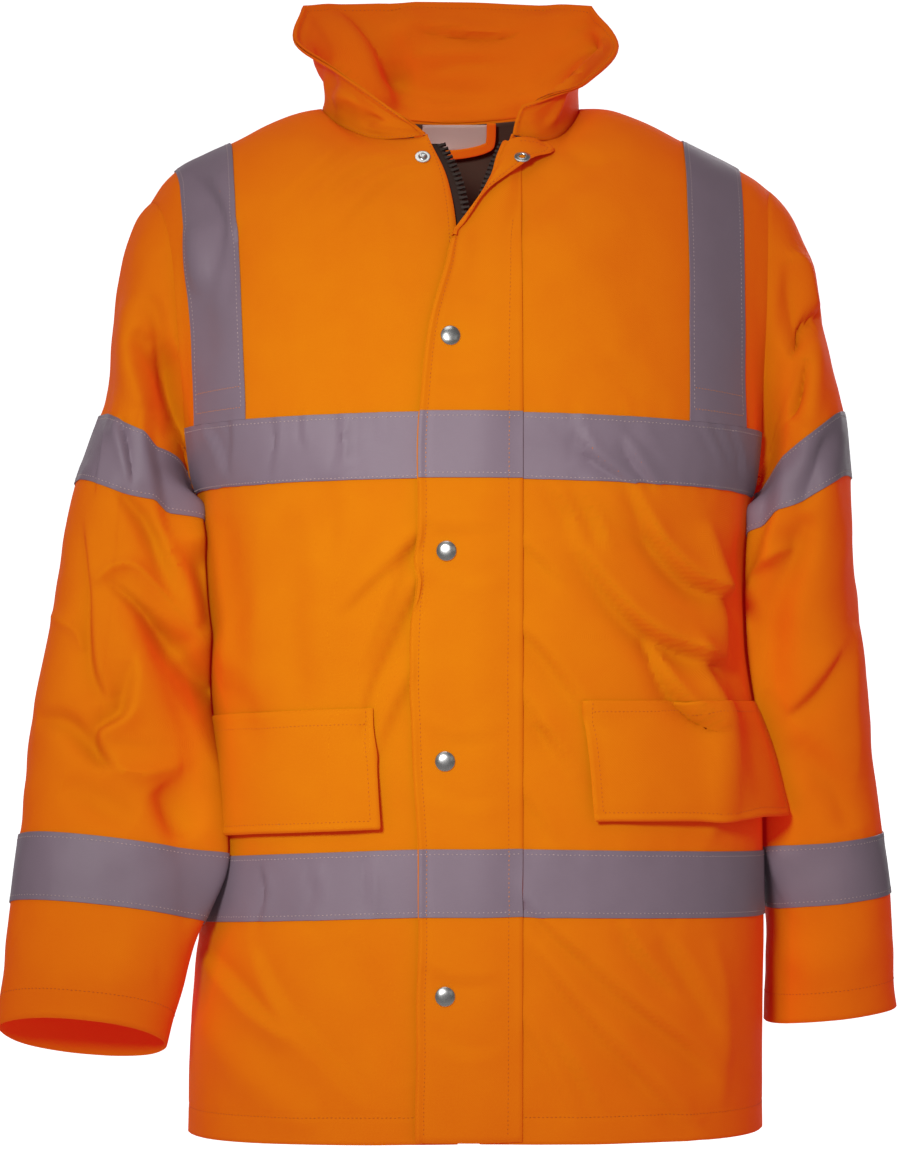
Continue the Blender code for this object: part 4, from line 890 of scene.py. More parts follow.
def surface_tree(*surfaces):
    """Ray-cast tree of one or more surfaces."""
    points, faces, start = [], [], 0
    for surface in surfaces:
        rows, cols = surface.grid.shape[:2]
        index = np.arange(rows * cols).reshape(rows, cols) + start
        quads = np.stack([index[:-1, :-1], index[:-1, 1:], index[1:, 1:], index[1:, :-1]], axis=-1)
        faces += quads.reshape(-1, 4).tolist()
        points += surface.grid.reshape(-1, 3).tolist()
        start += rows * cols
    return BVHTree.FromPolygons(points, faces)


# ---------------------------------------------------------------- stitches

TAPE_EDGE = 3.5  # mm from a tape's edge to its stitches
FLAP_EDGE_STITCH = 6  # mm from a flap's edge to its stitches
CUFF_STITCH = 22
ON_CLOTH = 0.05
stitches = {}


def resampled(points, normals, pitch):
    steps = np.linalg.norm(np.diff(points, axis=0), axis=-1)
    at = np.concatenate([[0], np.cumsum(steps)])
    count = max(2, int(at[-1] / pitch))
    where = (np.arange(count) + 0.5) * at[-1] / count
    p = np.stack([np.interp(where, at, points[:, k]) for k in range(3)], axis=-1)
    n = np.stack([np.interp(where, at, normals[:, k]) for k in range(3)], axis=-1)
    n /= np.linalg.norm(n, axis=-1, keepdims=True)
    t = np.gradient(p, axis=0)
    t /= np.linalg.norm(t, axis=-1, keepdims=True)
    return p, n, t


def stitch(thread, points, normals, pitch=3.2, length=2.3, width=0.62, height=0.34):
    """A row of stitches along a line of points."""
    p, n, t = resampled(np.asarray(points), np.asarray(normals), pitch)
    side = np.cross(n, t)
    sway = np.array([math.sin(i * 2.3) * 0.12 for i in range(len(p))])[:, None]
    p = p + side * sway
    ends = length / 2
    corners = np.stack([
        p - t * ends - n * 0.1, p + t * ends - n * 0.1,
        p + side * width / 2, p - side * width / 2,
        p + n * height, p - n * height * 0.8,
    ], axis=1)
    stitches.setdefault(thread, []).append(corners)


def stitch_on(thread, surface, start, end, lift, count=None, **more):
    """A row of stitches between two places of a surface."""
    count = count or int(max(abs(end[0] - start[0]), abs(end[1] - start[1])) * 2) + 2
    r = np.linspace(start[0], end[0], count)
    c = np.linspace(start[1], end[1], count)
    points, normals = surface.sample(r, c, np.full(count, float(lift)))
    stitch(thread, points, normals, **more)


STITCH_FACES = [(4, 0, 3), (4, 2, 0), (4, 1, 2), (4, 3, 1), (5, 3, 0), (5, 0, 2), (5, 2, 1), (5, 1, 3)]


def build_stitches(materials):
    for thread, groups in stitches.items():
        corners = np.concatenate(groups)
        faces = (np.array(STITCH_FACES)[None] + 6 * np.arange(len(corners))[:, None, None]).reshape(-1, 3)
        piece = new_object("stitching_" + thread, corners.reshape(-1, 3) * MM, faces.tolist(),
                           [materials["thread_" + thread]], sharp=None)


# ---------------------------------------------------------------- materials


CREASE_REACH, CREASE_GLOW = 0.022, 0.25  # metres over which a crease dims the painted glow as painted shade, share of the painted glow left in a deep one


def cloth_material(name, colour, deep, roughness, weave, sheen, bump, specular=0.35, mottling=0.5,
                   tint=(1, 1, 1), glow=None):
    """Woven cloth: two thread directions, uneven threads and a faint cloudiness."""
    material = bpy.data.materials.new(name)
    material.use_nodes = True
    nodes, links = material.node_tree.nodes, material.node_tree.links
    shader = nodes["Principled BSDF"]
    uv = nodes.new("ShaderNodeUVMap")
    uv.uv_map = "cloth"
    split = nodes.new("ShaderNodeSeparateXYZ")
    links.new(uv.outputs["UV"], split.inputs[0])

    def math_node(kind, a, b=None):
        node = nodes.new("ShaderNodeMath")
        node.operation = kind
        for socket, value in zip(node.inputs, (a, b)):
            if value is None:
                continue
            if isinstance(value, (int, float)):
                socket.default_value = value
            else:
                links.new(value, socket)
        return node.outputs[0]

    def texture(scale, detail, source=None):
        node = nodes.new("ShaderNodeTexNoise")
        node.inputs["Scale"].default_value = scale
        node.inputs["Detail"].default_value = detail
        links.new(source or uv.outputs["UV"], node.inputs["Vector"])
        return node.outputs["Fac"]

    turns = 2 * math.pi / (weave * MM)
    warp = math_node("SINE", math_node("MULTIPLY", split.outputs[0], turns))
    weft = math_node("SINE", math_node("MULTIPLY", split.outputs[1], turns))
    threads = math_node("MULTIPLY", warp, weft)
    stretch = nodes.new("ShaderNodeMapping")
    stretch.inputs["Scale"].default_value = (140, 1600, 1)
    links.new(uv.outputs["UV"], stretch.inputs["Vector"])
    uneven = texture(1.0, 2.0, stretch.outputs["Vector"])
    height = math_node("ADD", math_node("MULTIPLY", threads, 0.5), math_node("MULTIPLY", uneven, 0.9))
    node = nodes.new("ShaderNodeBump")
    node.inputs["Strength"].default_value = bump
    node.inputs["Distance"].default_value = 0.00018
    links.new(height, node.inputs["Height"])
    links.new(node.outputs["Normal"], shader.inputs["Normal"])

    cloudy = texture(26, 3.0)
    ramp = nodes.new("ShaderNodeValToRGB")
    ramp.color_ramp.elements[0].position = 0.5 - 0.5 * mottling
    ramp.color_ramp.elements[1].position = 0.5 + 0.5 * mottling
    ramp.color_ramp.elements[0].color = (*deep, 1)
    ramp.color_ramp.elements[1].color = (*colour, 1)
    links.new(math_node("ADD", math_node("MULTIPLY", cloudy, 0.75), math_node("MULTIPLY", uneven, 0.25)),
              ramp.inputs["Fac"])
    links.new(ramp.outputs["Color"], shader.inputs["Base Color"])
    spread = math_node("ADD", math_node("MULTIPLY", cloudy, 0.16), roughness - 0.08)
    links.new(spread, shader.inputs["Roughness"])
    shader.inputs["Specular IOR Level"].default_value = specular
    shader.inputs["Sheen Weight"].default_value = sheen
    shader.inputs["Sheen Roughness"].default_value = 0.5
    shader.inputs["Sheen Tint"].default_value = (*colour, 1)
    shader.inputs["Specular Tint"].default_value = (*tint, 1)
    # painted glow: a constant emission that stands in for light; the orange cloth and the tape are given one
    if glow:
        crease_shade = nodes.new("ShaderNodeAmbientOcclusion")  # painted shade: ambient occlusion dims the painted glow in a deep crease
        crease_shade.samples = 6
        crease_shade.inputs["Distance"].default_value = CREASE_REACH
        share = math_node("ADD", math_node("MULTIPLY", crease_shade.outputs["AO"], 1 - CREASE_GLOW), CREASE_GLOW)
        shader.inputs["Emission Color"].default_value = (*glow[0], 1)
        links.new(math_node("MULTIPLY", share, glow[1]), shader.inputs["Emission Strength"])
    return material


def grained_material(name, colour, roughness, metallic, grain, strength, distance):
    """Metal or moulded plastic with a fine grain."""
    material = bpy.data.materials.new(name)
    material.use_nodes = True
    nodes, links = material.node_tree.nodes, material.node_tree.links
    shader = nodes["Principled BSDF"]
    shader.inputs["Base Color"].default_value = (*colour, 1)
    shader.inputs["Metallic"].default_value = metallic
    where = nodes.new("ShaderNodeTexCoord")
    node = nodes.new("ShaderNodeTexNoise")
    node.inputs["Scale"].default_value = grain
    node.inputs["Detail"].default_value = 4
    links.new(where.outputs["Object"], node.inputs["Vector"])
    spread = nodes.new("ShaderNodeMapRange")
    spread.inputs["To Min"].default_value = roughness * 0.75
    spread.inputs["To Max"].default_value = roughness * 1.3
    links.new(node.outputs["Fac"], spread.inputs["Value"])
    links.new(spread.outputs[0], shader.inputs["Roughness"])
    bump = nodes.new("ShaderNodeBump")
    bump.inputs["Strength"].default_value = strength
    bump.inputs["Distance"].default_value = distance
    links.new(node.outputs["Fac"], bump.inputs["Height"])
    links.new(bump.outputs["Normal"], shader.inputs["Normal"])
    return material


ORANGE = (0.40, 0.222, 0.001)
ORANGE_DEEP = (0.37, 0.194, 0.001)
PAINTED_RED_GLOW = ((1, 0.006, 0.009), 0.42)  # painted glow: a constant red-orange emission that stands in for the dye's fluorescence and paints the red of the cloth's shade
PAINTED_TAPE_GLOW = ((1, 0.74, 0.9), 0.035)  # painted glow: a faint constant emission that stands in for the light a reflective tape sends back, much the same at each angle


def make_materials():
    return {
        "orange": cloth_material("orange_cloth", ORANGE, ORANGE_DEEP, 0.72, 1.3, 0.0, 0.7, specular=0.1,
                                 tint=(1, 0.32, 0.02), glow=PAINTED_RED_GLOW),
        "tape": cloth_material("grey_tape", (0.234, 0.168, 0.212), (0.207, 0.148, 0.188), 0.5, 0.6, 0.08, 0.3,
                               glow=PAINTED_TAPE_GLOW),
        "lining": cloth_material("dark_lining_cloth", (0.100, 0.055, 0.037), (0.080, 0.043, 0.028), 0.8,
                                 0.5, 0.05, 0.3),
        # painted reflection: the white label's pinkish tint stands in for orange light thrown on it by the
        # cloth around
        "label": cloth_material("label_cloth", (0.80, 0.64, 0.58), (0.76, 0.60, 0.54), 0.6, 0.5, 0.1, 0.5),
        "zip_cloth": cloth_material("zip_tape_cloth", (0.040, 0.019, 0.013), (0.030, 0.014, 0.009), 0.85,
                                    1.1, 0.05, 0.8),
        "plastic": grained_material("dark_plastic", (0.030, 0.015, 0.010), 0.55, 0.0, 900, 0.1, 0.0001),
        "nickel": grained_material("satin_nickel", (0.78, 0.77, 0.75), 0.27, 1.0, 1400, 0.08, 0.00005),
        "thread_orange": grained_material("orange_thread", (0.62, 0.10, 0.004), 0.6, 0.0, 3000, 0.3, 0.0001),
        "thread_bright": grained_material("bright_thread", (0.90, 0.30, 0.05), 0.6, 0.0, 3000, 0.3, 0.0001),
        "thread_pale": grained_material("pale_thread", (0.62, 0.46, 0.44), 0.6, 0.0, 3000, 0.3, 0.0001),
    }


materials = make_materials()


# ---------------------------------------------------------------- body


def fade(surface_shape, start, end, top, reach):
    """One inside a panel, falling to nothing at the named sides, over a few grid steps."""
    rows, cols = surface_shape
    r, c = np.meshgrid(np.arange(rows), np.arange(cols), indexing="ij")
    out = np.ones(surface_shape)
    if start:
        out *= smooth(c, 0, reach)
    if end:
        out *= smooth(cols - 1 - c, 0, reach)
    if top:
        out *= smooth(rows - 1 - r, 0, reach)
    return out


def body_surfaces():
    left_back, right_back = panel_half(LEFT, BACK), panel_half(RIGHT, BACK)
    grids = {
        "front_right": panel_half(RIGHT, FRONT)[:, ::-1],
        "front_left": panel_half(LEFT, FRONT),
        "back": np.concatenate([left_back[:, ::-1], right_back[:, 1:]], axis=1),
    }
    sides = {"front_right": (1, 0), "front_left": (0, 1), "back": (1, 1)}
    out = {}
    for seed, (name, grid) in enumerate(grids.items()):
        normals = grid_normals(grid)
        start, end = sides[name]
        hold = fade(grid.shape[:2], start=start, end=end, top=1, reach=4)
        relief = body_relief(name, grid, normals, seed) * hold
        out[name] = grid + normals * relief[..., None]
    shared = {name: grid_normals(grid) for name, grid in out.items()}
    pairs = [
        (shared["front_right"][:, 0], shared["back"][:, -1]),
        (shared["front_left"][:, -1], shared["back"][:, 0]),
    ]
    for a, b in pairs:
        both = a + b
        both /= np.linalg.norm(both, axis=-1, keepdims=True)
        a[:], b[:] = both, both
    return {name: Surface(out[name], normals=shared[name]) for name in out}


def build_panels(body):
    for name, surface in body.items():
        rows, cols = surface.grid.shape[:2]
        facing = np.zeros((rows, cols))
        facing[:ROW["hem_band"] + 1] = 1
        facing[-PANEL_FACING:] = 1
        facing[:, :PANEL_FACING] = 1
        facing[:, -PANEL_FACING:] = 1
        piece = layer("cloth_" + name, surface, -PANEL_WALL, PANEL_WALL, materials["orange"],
                      materials["lining"], edges=("top", "start", "end"), gap=0.12, facing=facing)
        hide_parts(name)
        rim = ROW["hem_band"] - 0.2
        stitch_on("orange", surface, (rim, 0.5), (rim, cols - 1.5), ON_CLOTH)
    for name in ("front_right", "front_left"):
        surface = body[name]
        edge = LAST_COL if name == "front_right" else 0
        inward = -1 if name == "front_right" else 1
        start = ROW["chest_high"] + 0.56 * YOKE_ROWS
        col = edge + inward * 1.4
        stitch_on("orange", surface, (start, col), (LAST_ROW - 1, col), ON_CLOTH)


def place_in(surface, axis, distance, far=False):
    """Row (axis 0) or column (axis 1) at a distance in from an edge of a surface."""
    grid = surface.grid if axis == 0 else surface.grid.transpose(1, 0, 2)
    line = grid[:, grid.shape[1] // 2]
    at = np.concatenate([[0], np.cumsum(np.linalg.norm(np.diff(line, axis=0), axis=-1))])
    return float(np.interp(at[-1] - distance if far else distance, at, np.arange(len(at))))


def beyond_seam(surface, rows, x_start):
    """The part of a front between two rows, from a line at x to its side seam."""
    r = np.arange(rows[0], rows[1] + 1)
    starts = np.array([np.interp(x_start, surface.grid[row, :, 0], np.arange(LAST_COL + 1)) for row in r])
    share = np.linspace(0, 1, LAST_COL + 1 - int(starts.min()))
    cols = starts[:, None] + (LAST_COL - starts[:, None]) * share[None, :]
    points, normals = surface.sample(np.broadcast_to(r[:, None], cols.shape), cols)
    return Surface(points, normals=normals)


def tape_piece(name, surface, rows=None, cols=None, edges=(), gap=0.3, sides=False):
    """A strip of reflective tape sewn on, with its rows of stitches."""
    patch = surface.patch(rows, cols) if rows else surface
    piece = layer(name, patch, LAYER_GAP, TAPE_WALL, materials["tape"], edges=edges, gap=gap, roll=TAPE_ROLL)
    top = LAYER_GAP + TAPE_WALL
    height, width = patch.grid.shape[0] - 1, patch.grid.shape[1] - 1
    if sides:
        for c in (place_in(patch, 1, TAPE_EDGE), place_in(patch, 1, TAPE_EDGE, far=True)):
            stitch_on("pale", patch, (1, c), (height - 1, c), top, width=0.8)
    else:
        for r in (place_in(patch, 0, TAPE_EDGE), place_in(patch, 0, TAPE_EDGE, far=True)):
            stitch_on("pale", patch, (r, 0.4), (r, width - 0.4), top, width=0.8)
    return piece, patch


def build_tapes(body):
    for word in ("chest", "waist"):
        rows = (ROW[word + "_low"], ROW[word + "_high"])
        for name, panel, cols, edges in (
            ("right", "front_right", (0, LAST_COL), ("start",)),
            ("left", "front_left", None, ("end",)),
            ("back", "back", (0, 2 * LAST_COL), ("start", "end")),
        ):
            gap = 3.0 if word == "chest" else 0.3
            if cols:
                patch = body[panel].patch(rows, cols)
            else:
                patch = beyond_seam(body[panel], rows, FLAP_SEAM_X + 0.7)
            piece, _ = tape_piece(f"tape_strip_{word}_{name}", patch, edges=edges, gap=gap)
            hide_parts(f"tape_{word}_{name}")


def brace_surface(side, body):
    """The strip of both panels over the shoulder that a brace lies on."""
    word = "right" if side == RIGHT else "left"
    front, back = body["front_" + word], body["back"]
    inner, outer = col_at(BRACE[0]), col_at(BRACE[1])
    steps = np.linspace(inner, outer, 12)
    front_cols = LAST_COL - steps[::-1] if side == RIGHT else steps
    back_cols = LAST_COL + steps[::-1] if side == RIGHT else LAST_COL - steps
    parts = []
    up = np.arange(ROW["chest_high"], LAST_ROW + 1)
    for surface, cols, rows in ((front, front_cols, up), (back, back_cols, up[:-1][::-1])):
        parts.append(surface.sample(*np.meshgrid(rows, cols, indexing="ij")))
    grid = np.concatenate([part[0] for part in parts])
    normals = np.concatenate([part[1] for part in parts])
    seam = len(up)
    for offset in range(-3, 3):
        row = seam + offset
        normals[row] = normals[row - 1:row + 2].mean(axis=0)
    normals /= np.linalg.norm(normals, axis=-1, keepdims=True)
    return Surface(grid, normals=normals)


def build_braces(body):
    for side, word in ((RIGHT, "right"), (LEFT, "left")):
        surface = brace_surface(side, body)
        rows = len(surface.grid) - 1
        piece, patch = tape_piece("tape_strip_brace_" + word, surface, (0, rows), (0, 11),
                                  edges=("bottom", "top"), sides=True)
        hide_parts("brace_" + word)
        top = LAYER_GAP + TAPE_WALL
        for r in (1.0, 3.2, rows - 1.0, rows - 3.2):
            stitch_on("bright", patch, (r, 0.8), (r, 10.2), top, count=24, pitch=2.8, width=0.7)


# side, name, inner edge at the top and at the bottom, outer edge (places), rows up, stand-off of both ends
POCKET_FLAPS = [
    (RIGHT, "right", 2.15, 1.95, 8.12, 0.0, 8, 4),
    (LEFT, "left", 2.75, 3.0, 8.5, 1.3, 7, 19),
]
FLAP_SHARES = np.concatenate([[0, 0.012, 0.03, 0.055, 0.085], np.linspace(0.12, 0.88, 24),
                              [0.915, 0.945, 0.97, 0.988, 1]])
EDGE_BEAD = 0.9  # roll of the cloth along a flap's edges


def edge_roll(away):
    """Rolled edge and the dip along the stitches, by the distance in mm from a flap's edge."""
    return EDGE_BEAD * np.exp(-((away - 1.3) / 1.3) ** 2) - 0.45 * np.exp(-((away - 6) / 1.8) ** 2)


def build_pocket_flaps(body):
    """Flaps over the hip pockets; they hang from their top seam and stand off at the lower corners."""
    for side, word, top_in, low_in, reach, raised, inner_off, outer_off in POCKET_FLAPS:
        surface = body["front_" + word]
        r = fractions((ROW["pocket_low"] + raised, ROW["pocket_high"] + raised))
        r = np.concatenate([[r[0], r[0] + 0.35, r[0] + 0.8, r[0] + 1.3], r[2:]])
        up = (r - r[0]) / (r[-1] - r[0])
        inner = np.interp(up, (0, 1), (col_at(low_in), col_at(top_in)))[:, None]
        cols = inner + (col_at(reach) - inner) * FLAP_SHARES[None, :]
        if side == RIGHT:
            cols = LAST_COL - cols[:, ::-1]
        points, normals = surface.sample(np.broadcast_to(r[:, None], cols.shape), cols)
        patch = Surface(points, normals=normals)
        rows, count = patch.grid.shape[:2]
        down = 1 - up[:, None]
        outward = (FLAP_SHARES if side == LEFT else FLAP_SHARES[::-1])[None, :]
        stand = mix(inner_off, outer_off, outward ** 2)
        lift = LAYER_GAP + stand * down ** 0.9
        lift = lift + 1.4 * np.sin(math.pi * down) * np.sin(math.pi * outward)
        lift = lift - 1.6 * np.exp(-((outward - 0.04) / 0.05) ** 2) * (down > 0.5) * (down - 0.5)
        lift = lift + 0.9 * waves(patch.grid, 26, 51) * down
        lift = np.maximum(lift, LAYER_GAP)
        wide = float(np.linalg.norm(np.diff(patch.grid[rows // 2], axis=0), axis=-1).sum())
        tall = float(np.linalg.norm(np.diff(patch.grid[:, count // 2], axis=0), axis=-1).sum())
        away = np.minimum(np.minimum(outward, 1 - outward) * wide, up[:, None] * tall)
        thick = FLAP_WALL + edge_roll(away) * smooth(down, 0, 0.1)
        outer, low = patch.lifted(lift + thick), patch.lifted(lift)
        piece = wall("cloth_pocket_flap_" + word, outer, low, materials["orange"])
        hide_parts("pocket_flap_" + word)
        top = Surface(outer)
        near_c = [place_in(top, 1, FLAP_EDGE_STITCH), place_in(top, 1, FLAP_EDGE_STITCH, far=True)]
        near_r, seam_r = place_in(top, 0, FLAP_EDGE_STITCH), place_in(top, 0, 11, far=True)
        for start, end in (
            ((near_r, near_c[0]), (near_r, near_c[1])),
            ((near_r, near_c[0]), (rows - 1, near_c[0])),
            ((near_r, near_c[1]), (rows - 1, near_c[1])),
            ((seam_r, near_c[0]), (seam_r, near_c[1])),
        ):
            stitch_on("orange", top, start, end, 0.0)


# ---------------------------------------------------------------- sleeves


def armhole_loop(side):
    low_shares = np.linspace(0, 1, ARMHOLE_STEPS + 1)
    parts = []
    for face in (FRONT, BACK):
        low = np.array([armhole_low(side, face, s) for s in low_shares])
        parts.append(np.vstack([low, armhole_high(side, face, YOKE_SHARES)]))
    return np.vstack([parts[0], parts[1][1:-1][::-1]])


def body_reach(tree, side, y, z):
    """How far the body reaches to a side at a depth and a height."""
    half = half_width(side, z)
    deep = np.where(y < 0, depth(FRONT, z), depth(BACK, z))
    inside = np.clip(1 - (np.abs(y) / deep) ** BODY_SQUARENESS, 0, 1)
    plain = half * inside ** (1 / BODY_SQUARENESS)
    out = plain.copy()
    for place in zip(*np.nonzero((z > -720) & (z < -240) & (np.abs(y) < 140))):
        start = Vector((side * 420, float(y[place]), float(z[place])))
        hit = tree.ray_cast(start, Vector((-side, 0, 0)))[0]
        if hit and side * hit.x > 120:
            out[place] = side * hit.x
    return out


def beside_body(grid, side, tree):
    """The sleeve with its inner side drawn against the side of the body, below the armhole."""
    x, y, z = side * grid[..., 0], grid[..., 1], grid[..., 2]
    low = smooth(-z, 272, 306) * (1 - smooth(-z, 570, 650))
    gap = x - body_reach(tree, side, y, z) - TOUCH_GAP
    inner = np.exp(-(np.maximum(gap - 22, 0) / 18) ** 2)
    out = grid.copy()
    out[..., 0] -= side * gap * low * inner * (gap > 0)
    return out


def clear_of_body(grid, side, tree):
    """The sleeve moved outwards wherever a fold would press it into the body."""
    x, y, z = side * grid[..., 0], grid[..., 1], grid[..., 2]
    gap = x - body_reach(tree, side, y, z) - TOUCH_GAP
    soft = 0.5 * (gap + np.sqrt(gap ** 2 + 5)) - gap
    push = np.where((gap < 40) & (gap > -60), soft, 0) * smooth(-z, 300, 330) * (1 - smooth(-z, 700, 720))
    for _ in range(4):
        spread = (push + 0.5 * np.roll(push, 1, 1) + 0.5 * np.roll(push, -1, 1)) / 2
        spread[1:-1] = (spread[1:-1] * 2 + spread[2:] + spread[:-2]) / 4
        push = np.maximum(push, spread)
    out = grid.copy()
    out[..., 0] += side * push
    return out


def stepped(grid, side):
    """The sleeve with its inner front drawn behind and below the fold that crosses the arm tape."""
    path, drop, back, (z_in, z_full, z_hold, z_out) = ARM_STEP[side]
    x, z = grid[..., 0], grid[..., 2]
    line = catmull(path, 4)
    edge = np.interp(-z, -line[:, 1], line[:, 0])
    inner = smooth(side * (edge - x), -2, 9) * smooth(-grid[..., 1], -20, 60)
    share = inner * smooth(-z, -z_in, -z_full) * (1 - smooth(-z, -z_hold, -z_out))
    out = grid.copy()
    out[..., 2] -= drop * share
    out[..., 1] += back * share
    return out


def tucked_under(loop, side, tree):
    """The seam allowance: the sleeve's top edge carried on under the body's armhole edge."""
    out = []
    for point in loop:
        near, normal, _, _ = tree.find_nearest(Vector(point - np.array([side * SEAM_TUCK, 0, 0])))
        if normal.dot(Vector(point) - Vector((0, 0, point[2] - 60))) < 0:
            normal = -normal
        out.append(near - normal * (PANEL_WALL + 0.6))
    return np.array(out)


def sleeve_surface(side, word, tree):
    loop = armhole_loop(side)
    low, high = LEVELS["chest_low"][side], LEVELS["chest_high"][side]
    near = np.clip((high - loop[:, 2]) / (high - low), 0, 1)
    loop[:, 0] += side * (ARMHOLE_GAP + UNDERARM_GAP * near)
    half = ARMHOLE_STEPS + YOKE_ROWS
    lengths = np.concatenate([[0], np.cumsum(np.linalg.norm(np.diff(loop[:half + 1], axis=0), axis=-1))])
    shares = lengths / lengths[-1]
    angles = np.concatenate([math.pi * shares, 2 * math.pi - math.pi * shares[1:-1][::-1]])
    power = 2 / SLEEVE_SQUARENESS
    start = len(loop) * 5 // 14  # the inner front, where the folds are, has its columns closer together
    places = np.concatenate([np.linspace(0, start, SLEEVE_COLUMNS[0], endpoint=False),
                             np.linspace(start, len(loop), SLEEVE_COLUMNS[1], endpoint=False)])
    count = np.arange(len(loop) + 1)
    loop = np.stack([np.interp(places, count, np.append(loop[:, k], loop[0, k])) for k in range(3)], axis=-1)
    angles = np.interp(places, count, np.append(angles, 2 * math.pi))
    cosine, sine = np.cos(angles), np.sin(angles)
    out = 0.5 - 0.5 * np.sign(cosine) * np.abs(cosine) ** power
    forward = np.sign(sine) * np.abs(sine) ** power
    rings = []
    for x_out, z_out, x_in, z_in, y_front, y_back, rise in SLEEVE[side]:
        half_depth = (y_back - y_front) / 2
        level = (BAND_LEVEL[side] * np.maximum(forward, 0) ** 0.9 * (1 - out) ** 3
                 if len(rings) in ARM_TAPE else 0)
        rings.append(np.stack([
            side * mix(x_in, x_out, out), (y_back + y_front) / 2 - half_depth * forward,
            mix(z_in, z_out, out) + rise * half_depth * forward + level,
        ], axis=-1))
    knots = [loop] + rings
    at = [0.0]
    for a, b in zip(knots, knots[1:]):
        at.append(at[-1] + float(np.linalg.norm(b - a, axis=-1).mean()))
    spine = Curve([(s, ring.ravel()) for s, ring in zip(at, knots)])
    rows, ring_rows = [loop], []
    outward = (0.5 - 0.5 * np.cos(angles)) ** 2
    for j, steps in enumerate(SLEEVE_ROWS):
        for k in range(1, steps + 1):
            v = k / steps
            ring = spine(mix(at[j], at[j + 1], v)).reshape(-1, 3)
            if j == 0:
                bulge = CAP_BULGE * math.sin(math.pi * v ** 0.5) ** 2 * outward
                ring = ring + np.stack([side * bulge, 0 * bulge, bulge * CAP_LIFT], axis=-1)
            rows.append(ring)
        ring_rows.append(len(rows) - 1)
    grid = np.array(rows[::-1])
    if side == RIGHT:
        grid = grid[:, ::-1]
    last = len(rows) - 1
    grid = beside_body(grid, side, tree)
    normals = grid_normals(grid, closed=True)
    seed = 11 if side == RIGHT else 17
    relief = fold_field("sleeve_" + word, grid, normals)
    relief += SOFT_WAVES["sleeve"] * (waves(grid * np.array([1, 1, 0.7]), 60, seed)
                                      + 0.45 * waves(grid, 28, seed + 3))
    ripple = waves(grid * np.array([1, 1, 0.3]), 11, seed + 7)
    marks = [last - ring_rows[k] for k in (*ARM_TAPE, *WRIST_TAPE)]
    r = np.arange(len(grid))[:, None]
    for mark in marks:
        relief += PUCKER * 1.6 * ripple * np.exp(-np.abs(r - mark) / 2.2)
    relief *= smooth(last - r, 0, 5)
    grid = grid + normals * relief[..., None]
    grid[..., 1] += recess_field("sleeve_" + word, grid)
    grid = clear_of_body(stepped(grid, side), side, tree)
    grid = np.concatenate([grid, [tucked_under(grid[-1], side, tree)]])
    return Surface(grid, closed=True), marks


def build_sleeves(body):
    tree = surface_tree(*body.values())
    for side, word in ((RIGHT, "right"), (LEFT, "left")):
        surface, marks = sleeve_surface(side, word, tree)
        facing = np.zeros(surface.grid.shape[:2])
        facing[:round(place_in(surface, 0, CUFF_FACING))] = 1
        facing[-ARMHOLE_FACING:] = 1
        piece = layer("cloth_sleeve_" + word, surface, -PANEL_WALL, PANEL_WALL, materials["orange"],
                      materials["lining"], edges=("top",), facing=facing)
        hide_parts("sleeve_" + word)
        cols = surface.grid.shape[1]
        for name, high, low in (("arm", marks[0], marks[1]), ("wrist", marks[2], marks[3])):
            rows = slice(low, high + 1)
            band = Surface(surface.grid[rows], closed=True, normals=surface.normals[rows])
            tape = layer(f"tape_strip_{name}_{word}", band, LAYER_GAP, TAPE_WALL, materials["tape"],
                         roll=TAPE_ROLL)
            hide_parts(f"tape_{name}_{word}")
            for r in (place_in(band, 0, TAPE_EDGE), place_in(band, 0, TAPE_EDGE, far=True)):
                stitch_on("pale", band, (r, 0), (r, cols), LAYER_GAP + TAPE_WALL, width=0.8)
        hem = place_in(surface, 0, CUFF_STITCH)
        stitch_on("orange", surface, (hem, 0), (hem, cols), ON_CLOTH)


# ---------------------------------------------------------------- what lies on the fronts


def front_finder(body):
    trees = {side: surface_tree(body["front_" + word]) for side, word in ((RIGHT, "right"), (LEFT, "left"))}

    def y_at(x, z):
        foot = NECK_OPENING[LEFT][0][0]
        side = LEFT if x > (ZIP_X if z < foot else -12) else RIGHT
        edge = float(OPENING_CURVE[side](z, 0))
        x = max(x, edge + 1) if side == LEFT else min(x, edge - 1)
        for step in range(16):
            hit = trees[side].ray_cast(Vector((x + side * step, -400, z - step / 2)), Vector((0, 1, 0)))[0]
            if hit:
                return hit.y
        raise ValueError(f"no front at {x:.0f}, {z:.0f}")

    return y_at


def front_grid(y_at, lines):
    return Surface(np.array([[(x, y_at(x, z), z) for x, z in line] for line in lines]))


def relaxed(surface, times):
    """The surface with its small bumps evened out along its depth."""
    grid = surface.grid.copy()
    for _ in range(times):
        y = grid[..., 1]
        blur = y.copy()
        blur[1:-1] = (y[:-2] + 2 * y[1:-1] + y[2:]) / 4
        blur[:, 1:-1] = (blur[:, :-2] + 2 * blur[:, 1:-1] + blur[:, 2:]) / 4
        grid[..., 1] = np.minimum(blur, y + 0.3)
    return Surface(grid)


STORM_SHARES = np.concatenate([[0, 0.012, 0.025, 0.045, 0.07, 0.095, 0.12, 0.15], np.linspace(0.2, 0.8, 10),
                               [0.84, 0.875, 0.91, 0.955, 1]])
FLAP_COLS = len(STORM_SHARES)
FLAP_UNDER = 1.3  # how far the flap's backing shows beyond its free edge
FLAP_TOP = -38


def flap_lift(share):
    """Lift of the storm flap above the fronts, from its free edge (0) to its seam (1)."""
    return mix(FLAP_LIFT, 0.35, smooth(share, 0.55, 1.0))


